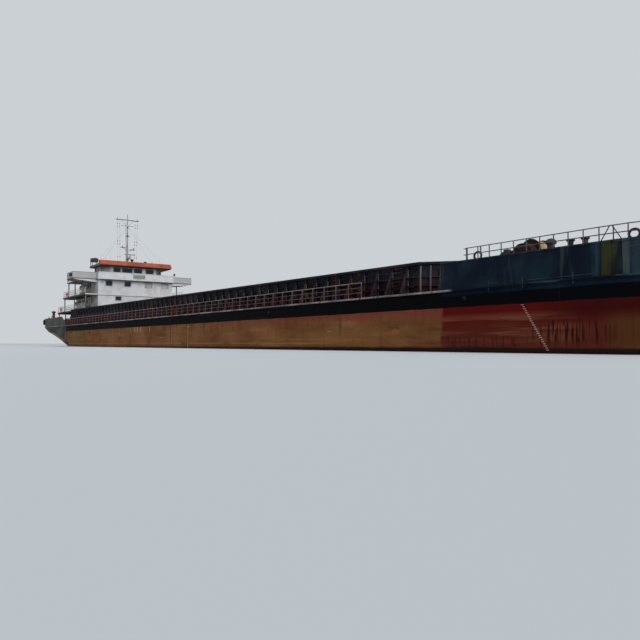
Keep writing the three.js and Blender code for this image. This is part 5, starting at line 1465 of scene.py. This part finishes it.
# Stairs between the decks: checker-plate treads between flat strings, with pipe handrails.
# Columns: name, replaced nodes, foot X, head X, centre Y, foot, head.
STAIRS = (("lower", ["stairs_lower"], -53.9, -53.06, 3.2, DECK, DECK_2["top"]),
          ("middle", ["stairs_middle"], -51.6, -50.06, 3.2, DECK_2["top"], DECK_3["top"]),
          ("upper", (), -49.0, -47.56, -5.4, DECK_3["top"], BRIDGE_TOP))
for name, replaced, foot_x, head_x, middle, foot, head in STAIRS:
    flight = Steelwork(WHITE_RAIL)
    half_way, level = (foot_x + head_x) / 2, (foot + head) / 2
    for y in (middle - 0.4, middle + 0.4):
        flight.bar((foot_x, y, foot), (head_x - 0.06, y, head - 0.12), 0.04, 0.2)
        flight.pipe([(foot_x, y, foot + 0.1), (foot_x - 0.05, y, foot + 0.9), (head_x - 0.1, y, head + 0.72),
                     (head_x - 0.08, y, head)], 0.02)
        flight.rod(half_way, y, (level, level + 0.84), 0.018)
    flight.wears(SHADED_PAINT)
    for t in (k / 10 for k in range(1, 10)):
        x, z = foot_x + t * (head_x - foot_x), foot + t * (head - foot)
        flight.about(x, middle, 0.12, 0.39, z - 0.03, z)
        flight.about(x - 0.11, middle, 0.01, 0.39, z - 0.05, z + 0.01)
    flight.fitted(f"stair_flight_{name}", slot="rail_paint", replaces=replaced)

# Weathertight doors: a pressed leaf with round corners, six dogs, a scuttle and two barrel hinges. The
# frame round the doorway stays on the wall, and the leaf swings with its own body.
DOOR = {"width": 0.74, "height": 1.95, "sill": 0.17, "gap": 0.055, "leaf": 0.06, "barrel": 0.07}
DOORS = (("house", -44.2, HOUSE["half"], DECK), ("wheelhouse", -39.0, 5.3, BRIDGE_TOP))
DOOR_HINGE = [(0, 0.04), (0.01, 0.05), (0.29, 0.05), (0.3, 0.04)]
door_frames = Steelwork(FRAME_PAINT)
for name, hinge, wall, foot in DOORS:
    for side, hand in SIDES:
        low, face, out = foot + DOOR["sill"], wall + DOOR["gap"], (0, hand, 0)

        def place(a, depth, b):
            """A point over the door's middle: how far along, out from the ship's middle and up it lies."""
            return Vector((hinge - DOOR["width"] / 2 + a, hand * depth, low + DOOR["height"] / 2 + b))

        def ring(width, height, radius, depth):
            return [place(a, depth, b) for a, b in rounded(width, height, radius)]
        outer, clear, sleeve = (0.84, 2.05, 0.1), (0.6, 1.8, 0.14), (0.63, 1.84, 0.05)
        door_frames.skin([ring(*outer, wall + 0.002), ring(*outer, wall + 0.03), ring(*clear, wall + 0.04),
                          ring(*clear, wall - 0.14), ring(*sleeve, wall - 0.14),
                          ring(*sleeve, wall + 0.002)], loop=True)
        leaf = Steelwork(WHITE_PAINT)
        leaf.skin([ring(0.72, 1.93, 0.12, face), ring(0.72, 1.93, 0.12, face + 0.05)])
        leaf.skin([ring(0.5, 0.62, 0.08, face + 0.03), ring(0.5, 0.62, 0.08, face + DOOR["leaf"])])
        face += 0.05
        leaf.wears(FRAME_PAINT)
        leaf.turned(place(0, face, 0.55),
                    [(-0.01, 0.17), (0.02, 0.17), (0.02, 0.12), (0.005, 0.12)], out, 20)
        leaf.wears(GLASS).turned(place(0, face, 0.55), [(-0.005, 0.125), (0.008, 0.125)], out, 20)
        leaf.wears(FRAME_PAINT)
        for up in (-0.8, 0.0, 0.8):
            for way in HANDS:
                leaf.turned(place(way * 0.3, face, up), [(0, 0.03), (0.035, 0.03)], out, 10)
                leaf.bar(place(way * 0.3, face + 0.03, up), place(way * 0.33, face + 0.03, up - 0.14),
                         0.024, 0.016,
                         up=(0, 1, 0))
        pin = wall + DOOR["barrel"] + 0.003
        for up in (low + 0.2, low + 1.45):
            leaf.turned((hinge, hand * pin, up), DOOR_HINGE, sides=14)
            leaf.bar((hinge, hand * (pin + 0.02), up + 0.15),
                     (hinge - 0.2, hand * (pin + 0.02), up + 0.15), 0.02, 0.1)
        door = f"_{name}_{side}"
        leaf.fitted(f"door_leaf{door}", f"door{door}", "white_paint", [f"door{door}"], bevel=0.006)
door_frames.fitted("door_frames", slot="white_paint")

# The bridge: wings out to the ship's side behind a plated bulwark with brackets inside and a pipe cap.
# Sidelights sit in screens on the wings, and a blank board hangs on the front.
BRIDGE = {"fore": -35.0, "half": 6.4, "wing_aft": -40.4, "wing_fore": -36.6, "high": 13.86, "aft": -47.5}
bridge = Steelwork(WHITE_PAINT)
front, half, wing_aft, wing_fore = BRIDGE["fore"], BRIDGE["half"], BRIDGE["wing_aft"], BRIDGE["wing_fore"]
plan = [(wing_aft, SIDE), (wing_fore, SIDE), (wing_fore, half), (front - 0.5, half), (front, half - 0.5)]
for hand in HANDS:
    top = [(x, hand * (y - 0.03), BRIDGE["high"]) for x, y in plan]
    bridge.pipe(top + [(front - 0.03, 0, BRIDGE["high"])], 0.05)
    for x in (-39.8, -38.9, -38.0, -37.1):
        bridge.web("x", bracket(hand, SIDE - 0.08, 0.22, 0.02, BRIDGE_TOP, 13.8), x, 0.015)
    for x in (wing_aft + 0.1, -38.5, wing_fore - 0.1):
        under = ((6.2, 12.76), (9.95, 12.76), (9.95, 12.68), (6.2, 12.3))
        bridge.web("x", [(hand * y, z) for y, z in under], x, 0.03)
for k in range(9):
    bridge.web("y", bracket(1, front - 0.08, 0.24, 0.02, BRIDGE_TOP, 13.8), -5.6 + k * 1.4, 0.015)
bridge.fitted("bridge_bulwark_cap", slot="white_paint")

wing_x, deck_x = wing_aft + 0.12, BRIDGE["aft"] + 0.1
rails_aft = [[(wing_x, -9.96), (wing_x, -8.22), (deck_x, -8.22), (deck_x, -5.9)],
             [(deck_x, -4.9), (deck_x, 8.22), (wing_x, 8.22), (wing_x, 9.96)]]
guard_rail("bridge_guard_rail", rails_aft, BRIDGE_TOP, 1.02, 3, 1.2, (), WHITE_RAIL, 0.028, 0.032)

BLANK = weathered("blank board", (126, 140, 124), (108, 122, 108), (90, 70, 54), 0.4, 0.5)
board = Steelwork(BLANK).block((front, front + 0.04), (-0.9, 1.1), (13.12, 13.66))
for zs in ((13.08, 13.12), (13.66, 13.7)):
    board.wears(FRAME_PAINT).block((front, front + 0.05), (-0.95, 1.15), zs)
board.fitted("blank_board", slot="grey_green_paint")

BLACK = weathered("sidelight black", (20, 21, 23), (34, 34, 36), roughness=0.5)
LENS = {"starboard": weathered("green lens", (20, 96, 64), (16, 80, 54), roughness=0.2),
        "port": weathered("red lens", (130, 20, 18), (110, 18, 16), roughness=0.2)}
lights = Steelwork(BLACK)
for side, hand in SIDES:
    port, out = (-39.9, hand * (SIDE - 0.02), 13.42), (0, hand, 0)
    lights.wears(WHITE_PAINT).turned(port, [(0, 0.27), (0.06, 0.27), (0.06, 0.21), (0.02, 0.21)], out, 22)
    lights.wears(BLACK).turned(port, [(0.0, 0.215), (0.025, 0.215)], out, 22)
    lights.block((-38.1, -37.2), span(hand, SIDE, SIDE + 0.04), (13.2, 13.62))
    lights.block((-38.14, -38.06), span(hand, SIDE, SIDE + 0.22), (13.16, 13.66))
    lights.block((-38.1, -37.5), span(hand, SIDE, SIDE + 0.22), (13.16, 13.19))
    lights.wears(LENS[side])
    lights.turned((-37.85, hand * 10.12, 13.19),
                  [(0, 0.07), (0.02, 0.08), (0.2, 0.08), (0.24, 0.05)], sides=18)
lights.fitted("sidelights", bevel=0.008)

lamp_post = Steelwork(RED_PAINT)
lamp_post.rod(-36.75, 6.9, (BRIDGE_TOP, 14.15), 0.035)
lamp_post.about(-36.75, 6.9, 0.12, 0.12, 14.12, 14.42)
lamp_post.turned((-36.75, 6.9, 14.42), [(0, 0.16), (0.03, 0.16), (0.08, 0.05)], sides=14)
lamp_post.fitted("wing_lamp", slot="rail_paint", bevel=0.01)

# The wheelhouse: white plate with a band of dark windows. The starboard corner pane has its blind down.
WHEELHOUSE = {"aft": -41.5, "fore": -37.3, "half": 5.3, "chamfer": 1.6, "sill": 14.18, "head": 14.98}
# Columns: centre Y, width.
WHEELHOUSE_FRONT = ((-2.85, 1.2), (-1.15, 1.8), (0.67, 1.45), (2.7, 1.4))
frames, panes = Steelwork(FRAME_PAINT), Steelwork(GLASS)
front, half, sill, head = (WHEELHOUSE[key] for key in ("fore", "half", "sill", "head"))
level, tall, cut = (sill + head) / 2, head - sill, WHEELHOUSE["chamfer"] / 2
for y, width in WHEELHOUSE_FRONT:
    window(frames, panes, (front, y, level), (1, 0, 0), width, tall)
for y in (-3.2, 0, 3.2):
    window(frames, panes, (WHEELHOUSE["aft"], y, level), (-1, 0, 0), 1.6, tall)
for hand in HANDS:
    window(frames, panes, (front - cut, hand * (half - cut), level),
           Vector((1, hand, 0)).normalized(), 1.48, tall,
           BLIND if hand < 0 else None)
    window(frames, panes, (-40.525, hand * half, level), (0, hand, 0), 1.15, tall)
frames.fitted("wheelhouse_window_frames", slot="white_paint")
panes.fitted("wheelhouse_window_panes")

wipers = Steelwork(DARK_PAINT)
for y, width in WHEELHOUSE_FRONT:
    wipers.turned((front + 0.06, y, head + 0.03), [(0, 0.035), (0.04, 0.035)], (1, 0, 0), 10)
    wipers.bar((front + 0.07, y, head + 0.03), (front + 0.06, y - 0.3, sill + 0.2), 0.02, 0.012,
               up=(1, 0, 0))
wipers.rod(front + 0.09, (-3.5, 3.5), 13.95, 0.02)
for y in (-3.4 + k * 1.36 for k in range(6)):
    wipers.rod((front, front + 0.09), y, 13.95, 0.014, 6)
wipers.fitted("wipers_and_front_rail", slot="dark_paint")

# The roof's visor: ribbed orange sheet that slopes out over the front windows, its top turned back.
ORANGE = weathered("visor orange", (160, 84, 64), (136, 70, 54), (84, 44, 38), 0.8, 0.6)
VISOR = {"foot": 15.18, "front": -35.65, "top": 15.94, "top_x": -36.15, "back": -36.7, "half": 6.0,
         "root": -36.197}
ROOF_TOP = 15.403
v = VISOR
outline = [(v["root"], v["foot"]), (v["front"], v["foot"]), (v["front"], v["foot"] + 0.08),
           (v["top_x"], v["top"]),
           (v["back"], v["top"]), (v["back"], ROOF_TOP), (v["root"], ROOF_TOP)]
visor = Steelwork(ORANGE).web("y", outline, 0, v["half"])
visor.fitted("visor_sheet", slot="orange_paint", replaces=["roof_visor"], bevel=0.02)
rib = Steelwork(ORANGE).skin([[(0, -0.07, z), (0, 0.07, z), (0.045, 0.03, z), (0.045, -0.03, z)]
                              for z in (0, 1)])
rise = Vector((v["top_x"] - v["front"], 0, v["top"] - v["foot"] - 0.08))
places = [((v["front"] - 0.005, -v["half"] + 0.15 + k * 0.26, v["foot"] + 0.08),
           (0, math.atan2(rise.x, rise.z), 0),
           (1, 1, rise.length)) for k in range(46)]
fit("visor_ribs", row(rib, places, ORANGE), slot="orange_paint")

# On the roof: an edge bar, a locker of sheet steel on four legs, and the gear that stands there, which
# is a day shape, a searchlight, a compass, an aerial dome and whip aerials.
edge = Steelwork(SHADED_PAINT)
for hand in HANDS:
    edge.block((-41.8, -36.2), span(hand, 5.95, 6.02), (15.06, 15.42))
edge.block((-41.84, -41.76), (-6.02, 6.02), (15.06, 15.42))
edge.fitted("roof_edge", slot="deck_paint", bevel=0.01)

locker = Steelwork(DARK_PAINT).about(-41.2, -5.45, 0.52, 0.52, 16.1, 16.66)
locker.web("x", [(-5.99, 16.66), (-4.91, 16.66), (-4.91, 16.69), (-5.45, 16.75), (-5.99, 16.69)],
           -41.2, 0.52)
for x in (-41.66, -40.74):
    for y in (-5.91, -4.99):
        locker.about(x, y, 0.04, 0.04, ROOF_TOP, 16.12)
for y in (-5.7, -5.2):
    locker.about(-40.67, y, 0.01, 0.18, 16.16, 16.6)
locker.fitted("locker_box", slot="dark_paint", replaces=["roof_locker"], bevel=0.015)

DAY_SHAPE = [(0, 0.05), (0.6, 0.05), (0.62, 0.12), (1.0, 0.3), (1.04, 0.3)]
DOME = [(0, 0.2), (0.3, 0.2), (0.4, 0.26), (0.55, 0.22), (0.62, 0.1)]
BALL = [(-0.27 * math.cos(t), 0.27 * max(0.04, math.sin(t))) for t in (math.pi * k / 8 for k in range(9))]
roof_gear = Steelwork(WHITE_RAIL)
for y, tall in ((-4.6, 1.5), (-3.9, 2.0), (2.6, 1.4), (3.2, 1.9), (3.8, 1.5), (4.4, 2.1), (5.2, 1.6)):
    roof_gear.turned((-37.4, y, ROOF_TOP), [(0, 0.05), (0.2, 0.045), (0.22, 0.016), (tall, 0.008)], sides=8)
roof_gear.wears(MACHINE_RUST).turned((-36.9, -0.5, ROOF_TOP), DAY_SHAPE, sides=18)
roof_gear.wears(DARK_PAINT).turned((-37.0, 1.8, ROOF_TOP), [(0, 0.09), (0.35, 0.07), (0.36, 0.12)], sides=14)
roof_gear.turned((-37.0, 1.8, ROOF_TOP + 0.6), BALL, sides=14)
roof_gear.wears(WHITE_PAINT).turned((-36.9, 3.0, ROOF_TOP), [(0, 0.06), (0.5, 0.05)], sides=10)
roof_gear.turned((-37.05, 3.0, ROOF_TOP + 0.66), [(0, 0.1), (0.05, 0.16), (0.3, 0.18), (0.32, 0.15)],
                 (1, 0, 0), 18)
roof_gear.turned((-38.6, -3.0, ROOF_TOP), DOME, sides=20)
roof_gear.fitted("roof_gear", slot="white_paint")

# The mast: a steel pole with a yard, lamp platforms, a ladder and its lamps. Wire stays hold it and
# halyards run up to the yard. The radar turns on a bracket in front.
MAST = {"x": -40.9, "top": 24.2, "yard": 23.7, "half": 2.0, "ladder": -41.28}
RADAR = {"x": -39.5, "z": 17.6}
LAMP = [(0, 0.09), (0.04, 0.09), (0.04, 0.07), (0.2, 0.07), (0.2, 0.1), (0.24, 0.04)]
POLE = [(0, 0.3), (0.06, 0.3), (0.06, 0.17), (4.0, 0.14), (8.7, 0.085), (8.8, 0.05)]
MAST_PAINT = weathered("mast paint", (156, 154, 150), (132, 128, 122), (104, 72, 54), 0.4, 0.5)
mx, yard_z, ladder_x = MAST["x"], MAST["yard"], MAST["ladder"]
rx, rz = RADAR["x"], RADAR["z"]
mast = Steelwork(MAST_PAINT).turned((mx, 0, ROOF_TOP), POLE, sides=16)
mast.wears(FORE_RAIL)
mast.turned((mx, 0, MAST["top"]), [(0, 0.05), (0.5, 0.035), (0.56, 0.01)], sides=8)
mast.pipe([(mx, -MAST["half"], yard_z), (mx, 0, yard_z + 0.05), (mx, MAST["half"], yard_z)], 0.065)
mast.rod(mx, (-1.1, 1.1), yard_z - 1.0, 0.03)
for hand in HANDS:
    mast.pipe([(mx, hand * 1.1, yard_z), (mx, hand * 0.1, yard_z - 1.0)], 0.02, 6)
    mast.turned((mx, hand * 1.7, yard_z + 0.05),
                [(0, 0.05), (0.2, 0.05), (0.22, 0.02), (0.5, 0.01)], sides=8)
mast.wears(MAST_PAINT)
for z, y, half in ((18.9, -0.75, 0.38), (18.6, 0.85, 0.45), (20.9, 0.0, 0.3)):
    mast.block((mx - 0.2, mx + 0.35), (y - half, y + half), (z, z + 0.06))
    for low, high in ((z - 0.5, z), (z + 0.02, z + 0.02)):
        mast.pipe([(mx, 0, low), (mx + 0.1, y, high)], 0.03, 6)
mast.pipe([(mx, 0, rz - 1.1), (rx, 0, rz - 0.62)], 0.06)
mast.block((mx, rx + 0.25), (-0.2, 0.2), (rz - 0.62, rz - 0.55))
mast.turned((rx, 0, rz - 0.55), [(0, 0.2), (0.22, 0.18), (0.3, 0.14), (0.387, 0.12)], sides=18)
for z in (ROOF_TOP + 0.4 + k * 0.3 for k in range(26)):
    mast.rod(ladder_x, (-0.16, 0.16), z, 0.014, 6)
for y in (-0.17, 0.17):
    mast.bar((ladder_x, y, ROOF_TOP), (ladder_x, y, 23.3), 0.04, 0.02)
for z in (16.4, 18.2, 20.0, 21.8, 23.2):
    mast.rod((mx, ladder_x), 0, z, 0.02, 6)
mast.wears(BLACK)
for z, y in ((18.96, -0.9), (18.66, 1.0), (20.96, 0.0), (22.3, 0.0)):
    mast.turned((mx + 0.22, y, z), LAMP, sides=14)
mast.pipe([(mx, 0, 22.3), (mx + 0.22, 0, 22.32)], 0.03, 6)
mast.fitted("mast_and_yard", slot="rail_paint", replaces=["mast"])

WIRE = weathered("wire rope", (86, 86, 88), (70, 68, 68), (92, 60, 46), 0.5, 0.5)
wires = Steelwork(WIRE)
for x in (-37.2, -41.6):
    for y in (-5.6, 5.6):
        wires.pipe([(mx, 0, 22.6), (x, y, ROOF_TOP)], 0.008, 6)
for y in (-1.75, -1.35, 1.35, 1.75):
    wires.pipe([(mx, y, yard_z), (mx, y * 0.9, ROOF_TOP)], 0.007, 6)
    for z in (22.9, 22.4, 19.9, 19.4, 17.2):
        on_wire = y * (0.9 + 0.1 * (z - ROOF_TOP) / (yard_z - ROOF_TOP))
        wires.turned((mx, on_wire, z), [(0, 0.03), (0.03, 0.05), (0.2, 0.05), (0.23, 0.03)], sides=8)
wires.fitted("mast_stays")

scanner = Steelwork(WHITE_PAINT)
scanner.turned((rx, 0, rz - 0.16), [(0, 0.1), (0.02, 0.12), (0.09, 0.12), (0.12, 0.08)], sides=18)
shape = [(-0.09, -0.06), (-0.05, -0.08), (0.05, -0.08), (0.09, -0.05), (0.09, 0.05), (0.05, 0.08),
         (-0.05, 0.08),
         (-0.09, 0.06)]
scanner.skin([[(rx + a * s, y, rz + b * s) for a, b in shape]
              for y, s in ((-0.95, 0.6), (-0.9, 1), (0.9, 1), (0.95, 0.6))])
scanner.wears(DARK_PAINT)
scanner.block((rx + 0.085, rx + 0.094), (-0.86, 0.86), (rz - 0.03, rz + 0.03))
scanner.fitted("radar_bar", "radar_scanner", "white_paint", ["radar_scanner"], bevel=0.008)

# Funnels behind the wheelhouse: raked white casings with an orange band, louvres, a rim and the pipes.
SOOT = weathered("funnel soot", (34, 33, 33), (52, 48, 46), (92, 56, 42), 0.7, 0.7)
FUNNEL = {"aft": -46.0, "fore": -44.2, "rake": 0.3, "foot": 12.903, "top": 15.0, "y": 3.2, "width": 1.4}
UPTAKE = [(0, 0.2), (0.72, 0.2), (0.76, 0.18), (0.76, 0.15), (0.5, 0.15)]


def casing_rings(y, low, high, grow=0.0):
    """The funnel's outline at two heights, grown for a band or rim."""
    rings = []
    for z in (low, high):
        t = (z - FUNNEL["foot"]) / (FUNNEL["top"] - FUNNEL["foot"])
        aft, fore = FUNNEL["aft"] - grow, FUNNEL["fore"] - FUNNEL["rake"] * t + grow
        outline = rounded(fore - aft, FUNNEL["width"] + 2 * grow, 0.18)
        rings.append([((aft + fore) / 2 + a, y + b, z) for a, b in outline])
    return rings


for side, hand in SIDES:
    y, foot, top = hand * FUNNEL["y"], FUNNEL["foot"], FUNNEL["top"]
    casing = Steelwork(WHITE_PAINT).skin(casing_rings(y, foot, 14.3))
    casing.skin(casing_rings(y, foot, foot + 0.06, 0.03))
    casing.wears(ORANGE).skin(casing_rings(y, 14.3, 14.62, 0.004))
    casing.wears(SOOT).skin(casing_rings(y, 14.62, 14.97))
    casing.skin(casing_rings(y, top - 0.05, top, 0.03))
    casing.turned((-45.3, y, 14.6), UPTAKE, (-0.2, 0, 0.75), 20)
    casing.pipe([(-44.95, y + 0.3, 14.9), (-44.98, y + 0.3, 15.25)], 0.06, 10)
    casing.wears(FRAME_PAINT)
    for end in HANDS:
        for z in (13.35 + k * 0.09 for k in range(9)):
            casing.bar((-45.75, y + end * 0.7, z), (-44.9, y + end * 0.7, z), 0.05, 0.016, up=(0, end, 1))
    casing.fitted(f"funnel_casing_{side}", slot="white_paint", replaces=[f"funnel_{side}"], bevel=0.01)

# Life rings on the rails: orange foam rings with four white bands.
RING_ORANGE = weathered("life ring", (196, 84, 40), (176, 74, 38), roughness=0.6)
# Columns: X, Y, Z.
LIFE_RINGS = ((-46.6, -8.28, 13.4), (-46.6, 8.28, 13.4), (-50.6, -8.48, 8.4), (-50.6, 8.48, 8.4),
              (-47.4, -8.28, 10.9))
rings = Steelwork(RING_ORANGE)
for ring in LIFE_RINGS:
    rings.wears(RING_ORANGE).pipe(hoop(*ring, 0.3, circle()), 0.07, 10, loop=True)
    rings.wears(MARK_WHITE)
    for a in (math.pi / 4 + q * math.pi / 2 for q in range(4)):
        rings.pipe(hoop(*ring, 0.3, (a - 0.12, a, a + 0.12)), 0.076, 10)
rings.fitted("life_rings")

# The engines, in the open engine room under the house: a cast block with covers, manifold and bed.
ENGINE_GREEN = weathered("engine green", (52, 78, 68), (70, 92, 82), (74, 56, 44), 0.6, 0.5)
wear(ENGINE_GREEN, "engine_starboard", "engine_port")
for side, hand in SIDES:
    y = hand * 3.4
    motor = Steelwork(ENGINE_GREEN)
    for x in (-40.6 + k * 0.76 for k in range(6)):
        motor.about(x, y, 0.3, 0.34, 4.1, 4.3)
        motor.turned((x, y, 4.3), [(0, 0.2), (0.06, 0.2), (0.08, 0.1)], sides=14)
        for face in (-0.805, 0.805):
            motor.about(x, y + face, 0.3, 0.015, 2.7, 3.4)
    motor.wears(MACHINE_RUST).rod((-40.8, -36.6), y + 0.55, 4.24, 0.14, 12)
    motor.wears(DARK_PAINT).about(-38.7, y, 2.3, 0.9, 2.0, 2.12)
    motor.fitted(f"engine_fittings_{side}", slot="engine_iron", bevel=0.015)

# Propellers: cast bronze, four skewed blades on a tapered hub, each on its own shaft.
BRONZE = weathered("propeller bronze", (168, 128, 66), (138, 106, 58), (80, 84, 60), 0.5, 0.35, 0.85)
SHAFT = {"z": 1.05, "hub_fore": -44.606}
HUB = [(0, 0.26), (0.1, 0.265), (0.5, 0.22), (0.7, 0.15), (0.78, 0.06)]
for side, hand in SIDES:
    y, z, fore = hand * SKEG_Y, SHAFT["z"], SHAFT["hub_fore"]
    screw = Steelwork(BRONZE).turned((fore, y, z), HUB, (-1, 0, 0), 28)
    for blade in range(4):
        sections = []
        for t in (step / 8 for step in range(9)):
            reach = 0.2 + 0.62 * t
            chord = (0.26 + 0.34 * math.sin(math.pi * min(1, t * 0.9 + 0.12))) * (1 if t < 0.95 else 0.55)
            pitch = hand * math.radians(58 - 30 * t)
            section = []
            for a in circle(12):
                along, thick = chord / 2 * math.cos(a), 0.035 * (1 - 0.75 * t) * math.sin(a)
                turn = along * math.cos(pitch) - thick * math.sin(pitch)
                axial = along * math.sin(pitch) + thick * math.cos(pitch)
                angle = math.pi / 2 * blade + hand * 0.35 * t * t + turn / reach
                section.append((fore - 0.36 + axial * 0.75, y + reach * math.cos(angle),
                                z + reach * math.sin(angle)))
            sections.append(section)
        screw.skin(sections)
    screw.fitted(f"propeller_screw_{side}", f"propeller_{side}", "bronze", [f"propeller_{side}"], angle=50)

# Rudders: streamlined plate boxes on a stock, with a flat plate above and below and a zinc on each face.
RUDDER = {"x": -47.0, "fore": 0.45, "aft": 1.5, "bottom": 0.3, "top": 2.1, "thick": 0.22}
for side, hand in SIDES:
    x, y, low, high = RUDDER["x"], hand * SKEG_Y, RUDDER["bottom"], RUDDER["top"]
    nose, tail = x + RUDDER["fore"], x - RUDDER["aft"]
    section = []
    for k in range(10):
        t = 0.5 - 0.5 * math.cos(math.pi * k / 10)
        half = 0.012 + RUDDER["thick"] / 2 * 1.5 * math.sqrt(max(t, 0.001)) * (1 - t)
        section.append((nose - (nose - tail) * t, half))
    outline = [(px, y + half) for px, half in section] + [(tail, y)]
    outline += [(px, y - half) for px, half in reversed(section)]
    blade = Steelwork(HULL_PAINT).prism("z", outline, low, high)
    for z in (low, high - 0.05):
        blade.block((tail, nose - 0.05), (y - 0.12, y + 0.12), (z, z + 0.05))
    blade.turned((x, y, high - 0.2), [(0, 0.15), (0.2, 0.15), (0.22, 0.13), (0.357, 0.13)], sides=18)
    blade.wears(ZINC)
    for face in (-0.1, 0.1):
        blade.about(x - 0.2, y + face, 0.3, 0.03, 1.1, 1.24)
    blade.fitted(f"rudder_blade_{side}", f"rudder_{side}", "hull_paint", [f"rudder_{side}"], bevel=0.008)
